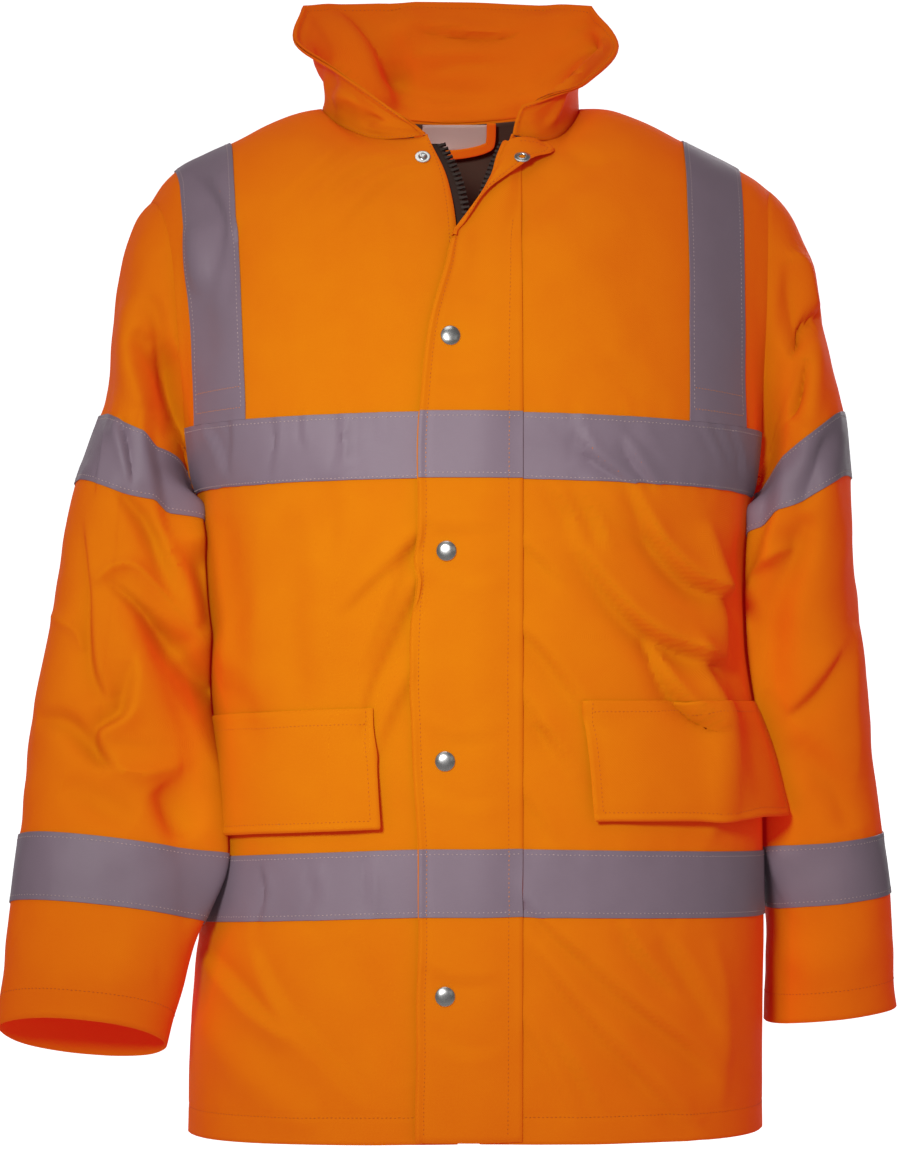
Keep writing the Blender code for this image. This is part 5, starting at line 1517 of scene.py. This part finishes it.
def build_storm_flap(y_at):
    levels = sorted([LEVELS[w]["front"] for w in ("chest_low", "chest_high", "waist_low", "waist_high")]
                    + [LEVELS["hem"]["front"] + 1.5, FLAP_TOP])
    heights = [levels[0]]
    for a, b in zip(levels, levels[1:]):
        count = math.ceil((b - a) / 5)
        heights += [mix(a, b, k / count) for k in range(1, count + 1)]
    share = STORM_SHARES
    lines = []
    for z in heights:
        free = float(FLAP_CURVE(z, 0)) + 0.7 * math.sin(z / 31) + 0.4 * math.sin(z / 13)
        lines.append([(mix(free, FLAP_SEAM_X, s), z) for s in share])
    surface = relaxed(front_grid(y_at, lines), 3)
    rows = len(heights)
    lift = np.broadcast_to(flap_lift(share)[None, :], (rows, FLAP_COLS)).copy()
    z = np.array(heights)[:, None]
    lift += 0.8 * (0.5 + 0.5 * np.sin(z / 37 + 1)) * (1 - share)[None, :] ** 3
    creases = fold_field("storm_flap", surface.grid, surface.normals)
    lift = np.maximum(lift + creases * smooth(1 - share, 0.05, 0.3)[None, :], 0.35)
    for x, snap_z in SNAP_CAPS:
        away = np.hypot(surface.grid[..., 0] - x, (surface.grid[..., 2] - snap_z) * 0.8)
        lift -= 0.9 * np.exp(-(away / 13) ** 2)
    thick = np.broadcast_to(mix(FLAP_WALL, 1.3, smooth(share, 0.6, 1.0))[None, :], (rows, FLAP_COLS))
    from_edge = share[None, :] * (FLAP_SEAM_X - surface.grid[:, :1, 0])
    thick = thick + edge_roll(from_edge)
    under = 0.4 * np.broadcast_to(thick[:, -1:], thick.shape)
    outer, inner = surface.lifted(lift + thick), surface.lifted(lift + under + 0.1)
    piece = wall("cloth_storm_flap", outer, inner, materials["orange"])
    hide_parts("storm_flap")
    low_outer, low_inner = surface.lifted(lift + under), surface.lifted(lift)
    for sheet in (low_outer, low_inner):
        step = sheet[:, 4] - sheet[:, 0]
        sheet[:, 0] -= step / np.linalg.norm(step, axis=-1, keepdims=True) * FLAP_UNDER
    piece = wall("cloth_flap_backing", low_outer, low_inner, materials["orange"])
    top = Surface(outer)
    near = [place_in(top, 1, 6.5), place_in(top, 1, 11, far=True)]
    high = rows - 1
    stitch_on("orange", top, (1, near[0]), (high - 6, near[0]), 0.0)
    stitch_on("orange", top, (1, near[1]), (high - 12, near[1]), 0.0)
    for word in ("chest", "waist"):
        low_row = heights.index(LEVELS[word + "_low"]["front"])
        high_row = heights.index(LEVELS[word + "_high"]["front"])
        piece, patch = tape_piece(f"tape_strip_{word}_flap", top, (low_row, high_row), (0, FLAP_COLS - 1))
        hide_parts(f"tape_{word}_flap")
        for c in near:
            stitch_on("bright", patch, (0, c), (high_row - low_row, c), LAYER_GAP + TAPE_WALL, width=0.8)
    return top


def build_facing(y_at):
    """The top of the storm flap, turned back so that its inside shows."""
    curve = Curve(FACING)
    heights = np.concatenate([np.linspace(-113.5, -42, 28), [-40, -38.4, -37, -36]])
    share = np.concatenate([np.linspace(0, 0.8, 12), [0.86, 0.91, 0.95, 0.98, 1]])
    lines = []
    for z in heights:
        turn, free = curve(z)
        lines.append([(mix(turn, free, s), z) for s in share])
    surface = relaxed(front_grid(y_at, lines), 4)
    slope = smooth(heights, -58, -36)[:, None] * (share ** 1.5)[None, :]
    surface = Surface(surface.grid - slope[..., None] * np.array([0, 0, 6.5]))
    x = surface.grid[..., 0]
    over_flap = FLAP_LIFT + FLAP_WALL + 1.2
    lift = mix(over_flap, 3.4, smooth(x, 46, 66))
    lift = lift - 2.6 * (1 - smooth(share, 0, 0.2))[None, :]
    rise = smooth(heights, -114, -80)[:, None]
    lift = lift + rise * (1.0 * np.sin(math.pi * share) + 2.6 * share ** 3)[None, :]
    from_edge = (1 - share)[None, :] * (surface.grid[:, -1:, 0] - surface.grid[:, :1, 0])
    thick = 1.6 + edge_roll(from_edge + 0 * lift)
    outer, inner = surface.lifted(lift + thick), surface.lifted(lift)
    piece = wall("cloth_flap_facing", outer, inner, materials["orange"])
    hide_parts("flap_facing")
    top = Surface(outer)
    stitch_on("orange", top, (6, 12.2), (28, 12.2), 0.0, count=40)
    stitch_on("orange", top, (28.4, 3), (28.4, 12), 0.0, count=20)
    return top


# ---------------------------------------------------------------- collar

COLLAR_SHARES = np.concatenate([np.linspace(0, 0.86, 30), [0.885, 0.91, 0.93, 0.95, 0.965, 0.98, 0.99, 1]])
COLLAR_GAIN = 2.2
COLLAR_CORNERS = (5, 9)  # stations where the top edge turns a corner
COLLAR_SPAN = (560, 100)  # round the neck and up the collar, mm, for the folds' places
COLLAR_FOLDS = [  # path from the left front end round the neck and up, width, height, kind, peak
    ([(96, 46), (122, 60), (150, 66), (176, 64)], 5, -3.2, CREST, 0.5),
    ([(150, 40), (166, 52), (178, 56)], 7, 3.4, SOFT, 0.5),
    ([(190, 92), (206, 78), (214, 62)], 8, 2.2, CREST, 0.3),
    ([(176, 80), (200, 50), (226, 26)], 13, 3.4, SOFT, 0.5),
    ([(262, 55), (280, 57), (300, 52)], 6, -1.5, CREST, 0.5),
    ([(240, 46), (270, 47), (296, 42)], 7, 1.3, CREST, 0.5),
    ([(266, 8), (292, 12), (316, 22)], 6, -2.0, CREST, 0.4),
    ([(250, 20), (290, 26), (320, 34)], 11, 1.8, SOFT, 0.5),
    ([(300, 84), (310, 68), (308, 52)], 11, -3.4, SOFT, 0.4),
    ([(296, 44), (312, 36), (330, 34)], 12, 3.6, SOFT, 0.5),
    ([(334, 4), (342, 18), (352, 34), (364, 44)], 6, -2.6, CREST, 0.5),
    ([(350, 8), (360, 26), (380, 46), (396, 70)], 12, 3.8, SOFT, 0.5),
    ([(376, 30), (400, 52), (416, 84)], 8, -2.0, CREST, 0.5),
    ([(430, 30), (450, 52), (470, 62)], 12, 1.8, SOFT, 0.5),
    ([(60, 20), (84, 40), (96, 70)], 11, 1.6, SOFT, 0.5),
    ([(314, 4), (322, 46), (334, 92)], 24, 6.0, BANK, 0.3),
    ([(44, 92), (95, 84), (130, 80), (166, 84)], 8, -3.0, CREST, 0.6),
    ([(100, 62), (150, 60), (186, 70)], 12, 4.0, SOFT, 0.7),
    ([(176, 66), (180, 76), (186, 84)], 7, 4.0, SOFT, 0.5),
    ([(298, 78), (270, 72), (246, 74)], 7, 2.4, BANK, 0.5),
    ([(300, 96), (306, 74), (300, 50), (306, 30)], 9, 2.4, BANK, 0.4),
    ([(408, 30), (424, 60), (430, 90)], 12, -3.0, SOFT, 0.5),
    ([(214, 88), (236, 84), (262, 90)], 8, -1.6, SOFT, 0.5),
    ([(222, 20), (236, 10), (252, 4)], 9, -1.6, SOFT, 0.5),
    ([(470, 20), (486, 40), (500, 50)], 8, -1.6, SOFT, 0.5),
]


def collar_surface():
    seam, bend, edge = (neck_line(part)[::3][::-1] for part in range(3))
    stations = np.array([station[2] for station in NECK[::-1]], float)
    at = np.linspace(0, len(NECK) - 1, len(edge))
    straight = np.stack([np.interp(at, np.arange(len(NECK)), stations[:, k]) for k in range(3)], axis=-1)
    for corner in COLLAR_CORNERS:
        near = np.exp(-((at - (len(NECK) - 1 - corner)) / 0.62) ** 2)[:, None]
        edge = mix(edge, straight, 0.9 * near)
    t = COLLAR_SHARES[:, None, None]
    grid = seam[None] * (1 - t) ** 2 + bend[None] * 2 * t * (1 - t) + edge[None] * t * t
    normals = grid_normals(grid)
    up = COLLAR_SHARES[:, None]
    around = np.linspace(0, 1, grid.shape[1])[None, :]
    x = np.broadcast_to(around * COLLAR_SPAN[0], grid.shape[:2])
    z = np.broadcast_to(up * COLLAR_SPAN[1], grid.shape[:2])
    relief = np.zeros(grid.shape[:2])
    for fold in COLLAR_FOLDS:
        relief += COLLAR_GAIN * fold_lift(x, z, *fold)
    relief += 2.6 * waves(grid, 40, 31) + 1.3 * waves(grid, 20, 33)
    hold = smooth(up, 0, 0.16) * (0.35 + 0.65 * smooth(1 - up, 0, 0.12))
    ends = smooth(around, 0, 0.06) * smooth(1 - around, 0, 0.06)
    return Surface(grid + normals * (relief * ends * hold)[..., None])


def build_collar():
    surface = collar_surface()
    rows, cols = surface.grid.shape[:2]
    c = np.arange(cols)
    near_end = np.minimum(c, cols - 1 - c)
    thick = mix(0.75, 1.15, smooth(near_end, 0, 20))[None, :] * np.ones((rows, 1))
    seam_gap = mix(0.25, 0.5, smooth(near_end, 0, 20))[None, :] * np.ones((rows, 1))
    edge = Surface(surface.grid, normals=surface.normals)
    tall = np.linalg.norm(surface.grid[-1] - surface.grid[0], axis=-1)
    away = np.minimum((1 - COLLAR_SHARES)[:, None] * tall[None, :], 2.2 * near_end[None, :])
    roll = edge_roll(away) * smooth(tall, 8, 20)[None, :]
    for name, high, low in (
        ("outside", roll, -thick),
        ("inside", -thick - seam_gap, -2 * thick - seam_gap - roll),
    ):
        outer = pulled(edge.lifted(high), ("bottom",), 0.05)
        inner = pulled(edge.lifted(low), ("bottom",), 0.05)
        if name == "inside":
            for sheet in (outer, inner):
                sheet[0, :, 2] = np.maximum(sheet[0, :, 2], surface.grid[0, :, 2] + 0.8)
        piece = wall("cloth_collar_" + name, outer, inner, materials["orange"])
    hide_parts("collar")
    outside = Surface(edge.lifted(roll))
    inside = Surface(edge.lifted(-2 * thick - seam_gap - roll), normals=-edge.normals)
    seam = place_in(outside, 0, FLAP_EDGE_STITCH, far=True)
    for sheet in (outside, inside):
        stitch_on("orange", sheet, (seam, 1.5), (seam, cols - 2.5), 0.0)
    stitch_on("orange", outside, (1.4, 1.5), (1.4, cols - 2.5), 0.0)
    for c_end in (1.6, cols - 2.6):
        stitch_on("orange", outside, (1.5, c_end), (rows - 2.6, c_end), 0.0)


# ---------------------------------------------------------------- neck opening and trim


def turned(name, profile, place, outward, sides=48):
    """A turned trim piece on an axis that points out of the jacket."""
    turn = Vector(outward).to_track_quat("Z", "Y").to_matrix()
    base = np.array(turn)
    angles = np.linspace(0, 2 * math.pi, sides, endpoint=False)
    vertices, faces = [], []
    rings = []
    for radius, height in profile:
        if radius < 1e-6:
            rings.append([len(vertices)])
            vertices.append((0, 0, height))
        else:
            rings.append(list(range(len(vertices), len(vertices) + sides)))
            vertices += [(radius * math.cos(a), radius * math.sin(a), height) for a in angles]
    for low, high in zip(rings, rings[1:]):
        for k in range(sides):
            j = (k + 1) % sides
            if len(low) == 1:
                faces.append((low[0], high[j], high[k]))
            elif len(high) == 1:
                faces.append((low[k], low[j], high[0]))
            else:
                faces.append((low[k], low[j], high[j], high[k]))
    points = np.array(vertices) @ base.T + np.array(place)
    if len(rings[0]) > 1:
        first, last = rings[0], rings[-1]
        faces += [(last[k], last[(k + 1) % sides], first[(k + 1) % sides], first[k]) for k in range(sides)]
    return new_object(name, points * MM, faces, [materials["nickel"]], sharp=0.7)


CAP_PROFILE = [(0, 0), (6.9, 0), (7.4, 0.25), (7.55, 0.7), (7.35, 1.15), (6.7, 1.5), (6.2, 1.75), (5.4, 2.2),
               (4.2, 2.6), (2.8, 2.85), (1.4, 2.97), (0, 3.0)]
STUD_PROFILE = [(0, 0), (5.4, 0), (5.8, 0.3), (5.7, 0.75), (5.0, 0.95), (4.0, 0.8), (3.3, 0.85), (2.7, 1.2),
                (2.35, 1.7), (2.6, 2.3), (2.3, 2.8), (1.4, 2.95), (1.1, 2.6), (0, 2.5)]
SOCKET_PROFILE = [(2.3, 0.1), (5.8, 0.1), (6.2, 0.4), (6.0, 0.95), (5.0, 1.1), (4.5, 1.5), (3.9, 1.9),
                  (3.1, 2.0), (2.6, 1.75), (2.3, 1.2)]


def place_on(y_at, x, z, height):
    reach = 6
    slope_x = (y_at(x + reach, z) - y_at(x - reach, z)) / (2 * reach)
    slope_z = (y_at(x, z) - y_at(x, z - reach)) / reach
    outward = Vector((slope_x, -1, slope_z)).normalized()
    return Vector((x, y_at(x, z), z)) + outward * height, outward


def build_snaps(y_at, flap_top, facing_top):
    tree, facing_tree = surface_tree(flap_top), surface_tree(facing_top)

    def on(found, x, z, height):
        hit, normal, _, _ = found.ray_cast(Vector((x, -400, z)), Vector((0, 1, 0)))
        outward = normal if normal.y < 0 else -normal
        return hit + outward * height, outward

    for number, (x, z) in enumerate(SNAP_CAPS, 1):
        piece = turned(f"snap_dome_{number}", CAP_PROFILE, *on(tree, x, z, 0.1))
        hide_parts(f"snap_cap_{number}")
    piece = turned("snap_male_half", STUD_PROFILE, *place_on(y_at, *SNAP_STUD, 0.4))
    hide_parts("snap_stud")
    piece = turned("snap_female_half", SOCKET_PROFILE, *on(facing_tree, *SNAP_SOCKET, 0.1))
    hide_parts("snap_socket")


TOOTH = (4.6, 2.3, 2.6)  # reach over the edge, height along the zip, depth
TOOTH_PITCH = 4.3
ZIP_FOOT, ZIP_HEAD, ZIP_GRID_ROWS = -768, -34, 110
ZIP_REACH = np.linspace(10, -7.5, 8)  # from under the cloth to the middle of the zip, from the front edge
ZIP_BACK = 1.6  # mm of air behind the wall of the front


def build_zip(y_at):
    """Zip tapes and teeth behind the two front edges."""
    heights = np.linspace(ZIP_FOOT, ZIP_HEAD, ZIP_GRID_ROWS)
    corners = []
    for side, word in ((RIGHT, "right"), (LEFT, "left")):
        lines = []
        for z in heights:
            edge = float(OPENING_CURVE[side](z, 0))
            lines.append(sorted(float(edge + side * d) for d in ZIP_REACH))
        grid = front_grid(y_at, [[(x, z) for x in line] for line, z in zip(lines, heights)])
        grid = relaxed(grid, 2)
        piece = layer("zip_strip_" + word, grid, -PANEL_WALL - ZIP_BACK - ZIP_WALL, ZIP_WALL,
                      materials["zip_cloth"])
        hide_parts("zip_tape_" + word)
        inner = len(ZIP_REACH) - 1 if side == RIGHT else 0
        line = grid.grid[:, inner]
        outward = grid.normals[:, inner]
        p, n, t = resampled(line, outward, TOOTH_PITCH)
        across = np.cross(t, n) * -side
        open_part = p[:, 2] > -118
        for i in range(len(p)):
            shift = 0.5 * TOOTH_PITCH if side == LEFT else 0.0
            centre = p[i] + t[i] * shift - n[i] * (PANEL_WALL + ZIP_BACK + ZIP_WALL * 0.5)
            reach = TOOTH[0] if open_part[i] else TOOTH[0] * 0.8
            a, b, c = across[i] * side * -1, t[i], n[i]
            box = []
            for da, wide in ((-1.6, 1.0), (reach * 0.35, 1.0), (reach * 0.62, 0.62), (reach, 0.9)):
                for db in (-1, 1):
                    for dc in (-1, 1):
                        box.append(centre + a * da + b * db * TOOTH[1] / 2 * wide + c * dc * TOOTH[2] / 2)
            corners.append(np.array(box))
    faces = []
    for k in range(3):
        s, e = 4 * k, 4 * k + 4
        faces += [(s, s + 1, e + 1, e), (s + 1, s + 3, e + 3, e + 1), (s + 3, s + 2, e + 2, e + 3),
                  (s + 2, s, e, e + 2)]
    faces += [(0, 2, 3, 1), (12, 13, 15, 14)]
    points = np.concatenate(corners)
    every = [tuple(v + 16 * i for v in face) for i in range(len(corners)) for face in faces]
    teeth = new_object("zip_teeth", points * MM, every, [materials["plastic"]], sharp=0.5)
    bpy.context.view_layer.update()


LABEL_X, LABEL_Z = np.linspace(-31, 21, 15), np.linspace(-24, -5, 9)
LABEL_OFF, HANGER_OFF = 4, 8.5  # mm in front of the lining
HANGER = [(-35, -10), (-30, -24), (-14, -27.5), (6, -25.5), (20, -21.5), (23, -17), (23.5, -4)]
HANGER_HALF = 3.2  # half its width


def build_neck_inside(body):
    back = body["back"]
    tree = surface_tree(back)
    reach = col_at(6)
    rows = (ROW["chest_low"], LAST_ROW)
    patch = back.patch(rows, (LAST_COL - reach, LAST_COL + reach))
    piece = layer("cloth_back_lining", patch, -PANEL_WALL - LAYER_GAP - LINING_WALL, LINING_WALL,
                  materials["lining"], edges=("top",))
    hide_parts("back_lining")

    def inside(x, z):
        return tree.ray_cast(Vector((x, -20, z)), Vector((0, 1, 0)))[0].y

    def strip(lines, away):
        return Surface(np.array([[(x, inside(x, z) - away, z) for x, z in line] for line in lines]))

    lining = PANEL_WALL + LAYER_GAP + LINING_WALL
    grid = strip([[(x, z) for x in LABEL_X] for z in LABEL_Z], lining + LABEL_OFF)
    piece = wall("cloth_label", grid.grid, grid.lifted(-0.6), materials["label"])
    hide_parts("neck_label")
    label_top = Surface(grid.grid, normals=grid.normals)
    stitch_on("pale", label_top, (0.6, 0.5), (0.6, 13.5), 0.0, count=30, pitch=2.0, length=1.5, width=0.35)
    path = catmull(HANGER, 6)
    along = np.gradient(path, axis=0)
    along /= np.linalg.norm(along, axis=-1, keepdims=True)
    across = np.stack([-along[:, 1], along[:, 0]], axis=-1)
    widths = np.linspace(HANGER_HALF, -HANGER_HALF, 6)
    lines = [[tuple(p + a * w) for p, a in zip(path, across)] for w in widths]
    grid = strip(lines, lining + HANGER_OFF)
    piece = wall("cloth_hanger_loop", grid.grid, grid.lifted(-1.2), materials["orange"])
    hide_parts("hanger_loop")


SLIDER_Z = -101
SLIDER_OUTLINE = [(-4.4, -6), (4.4, -6), (4.8, -2), (4.9, 3), (3.6, 6), (0, 6.4), (-3.6, 6), (-4.9, 3),
                  (-4.8, -2)]
SLIDER_RINGS = ((0.88, -1.3), (1, -0.9), (1, 0.6), (0.92, 1.1), (0.7, 1.3))  # scale, height


def build_slider(y_at):
    """The zip's slider at the foot of the open neck."""
    place, outward = place_on(y_at, ZIP_X, SLIDER_Z, -0.8)
    turn = np.array(outward.to_track_quat("Z", "Y").to_matrix())
    vertices, faces = [], []
    for scale, h in SLIDER_RINGS:
        vertices += [(x * scale, y * scale, h) for x, y in SLIDER_OUTLINE]
    n = len(SLIDER_OUTLINE)
    for ring in range(4):
        for k in range(n):
            j = (k + 1) % n
            faces.append((ring * n + k, ring * n + j, ring * n + n + j, ring * n + n + k))
    faces += [tuple(range(n))[::-1], tuple(range(4 * n, 5 * n))]
    points = np.array(vertices) @ turn.T + np.array(place)
    piece = new_object("zip_slider_body", points * MM, faces, [materials["plastic"]], sharp=0.6)
    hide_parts("zip_slider")


# ---------------------------------------------------------------- the jacket

body = body_surfaces()
build_panels(body)
build_tapes(body)
build_braces(body)
build_pocket_flaps(body)
build_sleeves(body)
y_at = front_finder(body)
flap_top = build_storm_flap(y_at)
facing_top = build_facing(y_at)
build_collar()
build_zip(y_at)
build_slider(y_at)
build_snaps(y_at, flap_top, facing_top)
build_neck_inside(body)
build_stitches(materials)


# ---------------------------------------------------------------- studio


AREA_LAMPS = [  # name, place, aim, size, power
    ("fill", (2.2, -2.8, 0.3), (0, 0, -0.45), 1.6, 1.5),
    ("top", (-0.2, -0.9, 2.4), (0, 0, -0.2), 1.4, 7),
    ("back", (1.3, 2.9, 0.7), (0, 0, -0.4), 1.2, 22),
]
EYE, LENS, SENSOR = (-0.00936, -3.0, -0.3639), 120.1, 36  # the photo's camera


def add_lamp(kind, name, place, aim, power):
    """A lamp that points at a place."""
    lamp = bpy.data.lights.new(name, kind)
    lamp.energy = power
    light = bpy.data.objects.new(name, lamp)
    light.location = place
    light.rotation_euler = (Vector(aim) - Vector(place)).to_track_quat("-Z", "Y").to_euler()
    bpy.context.scene.collection.objects.link(light)
    return light


FLOOR, FLOOR_Z = 8, -2.4
WALL_Y, WALL_X, WALL_TOP = 7.0, 4.5, 4.0


def stage_piece(name, corners, glow):
    mesh = bpy.data.meshes.new(name)
    mesh.from_pydata(corners, [], [(0, 1, 2, 3)])
    material = bpy.data.materials.new(name)
    material.use_nodes = True
    shader = material.node_tree.nodes["Principled BSDF"]
    shader.inputs["Base Color"].default_value = (0.9, 0.9, 0.9, 1)
    shader.inputs["Roughness"].default_value = 0.9
    if glow:
        shader.inputs["Emission Color"].default_value = (1, 1, 1, 1)
        shader.inputs["Emission Strength"].default_value = glow
    mesh.materials.append(material)
    piece = bpy.data.objects.new(name, mesh)
    bpy.context.scene.collection.objects.link(piece)


def build_studio():
    stage_piece("pale_floor", [(-FLOOR, -FLOOR, FLOOR_Z), (FLOOR, -FLOOR, FLOOR_Z),
                               (FLOOR, WALL_Y, FLOOR_Z), (-FLOOR, WALL_Y, FLOOR_Z)], 0)
    stage_piece("lit_wall", [(-WALL_X, WALL_Y, FLOOR_Z), (WALL_X, WALL_Y, FLOOR_Z),
                             (WALL_X, WALL_Y, WALL_TOP), (-WALL_X, WALL_Y, WALL_TOP)], 1.0)
    world = bpy.data.worlds.new("studio")
    world.use_nodes = True
    world.node_tree.nodes["Background"].inputs["Color"].default_value = (1, 1, 1, 1)
    world.node_tree.nodes["Background"].inputs["Strength"].default_value = 0.10
    bpy.context.scene.world = world
    key = add_lamp("SPOT", "key", (-0.78, -2.95, 0.45), (0, 0, -0.44), 375)
    key.data.shadow_soft_size = 0.3
    key.data.spot_size = math.radians(26)
    key.data.spot_blend = 1.0
    key.scale = (0.72, 1, 1)
    for name, place, aim, size, power in AREA_LAMPS:
        add_lamp("AREA", name, place, aim, power).data.size = size
    camera = bpy.data.cameras.new("camera")
    camera.sensor_width = SENSOR
    camera.lens = LENS
    camera.clip_end = 50
    eye = bpy.data.objects.new("camera", camera)
    eye.location = EYE
    eye.rotation_euler = (math.pi / 2, 0, 0)
    bpy.context.scene.collection.objects.link(eye)
    bpy.context.scene.camera = eye
    bpy.context.scene.view_settings.view_transform = "Standard"


BODY_CLOTH = ["cloth_front_right", "cloth_front_left", "cloth_back"]


def holding(name):
    """How a cloth piece is held, and what it lies on or hangs from."""
    if name.startswith("tape_strip_"):
        if name.endswith("_flap"):
            return "laid", ["cloth_storm_flap"]
        side = "left" if name.endswith("_left") else "right"
        if "_arm_" in name or "_wrist_" in name:
            return "laid", ["cloth_sleeve_" + side]
        if "_brace_" in name:
            return "laid", ["cloth_front_" + side, "cloth_back"]
        return "laid", ["cloth_back" if name.endswith("_back") else "cloth_front_" + side]
    if name.startswith("cloth_sleeve_"):
        return "hung", ["cloth_front_" + name.split("_")[-1], "cloth_back"]
    if name.startswith(("zip_strip_", "cloth_pocket_flap_")):
        return "hung", ["cloth_front_" + name.split("_")[-1]]
    return {
        "cloth_storm_flap": ("hung", ["cloth_front_left"]),
        "cloth_flap_backing": ("hung", ["cloth_storm_flap"]),
        "cloth_flap_facing": ("folded", ["cloth_storm_flap"]),
        "cloth_collar_outside": ("folded", BODY_CLOTH),
        "cloth_collar_inside": ("folded", ["cloth_collar_outside"]),
        "cloth_back_lining": ("hung", ["cloth_back"]),
        "cloth_label": ("laid", ["cloth_back_lining"]),
        "cloth_hanger_loop": ("hung", ["cloth_collar_inside"]),
    }.get(name, ("hung", [piece for piece in BODY_CLOTH if piece != name]))


def declare_cloth():
    for name, (grid, closed) in CUTS.items():
        if name.startswith(("cloth_", "tape_strip_", "zip_strip_")):
            held, rests_on = holding(name)
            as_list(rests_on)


declare_cloth()
build_studio()
bpy.context.view_layer.update()
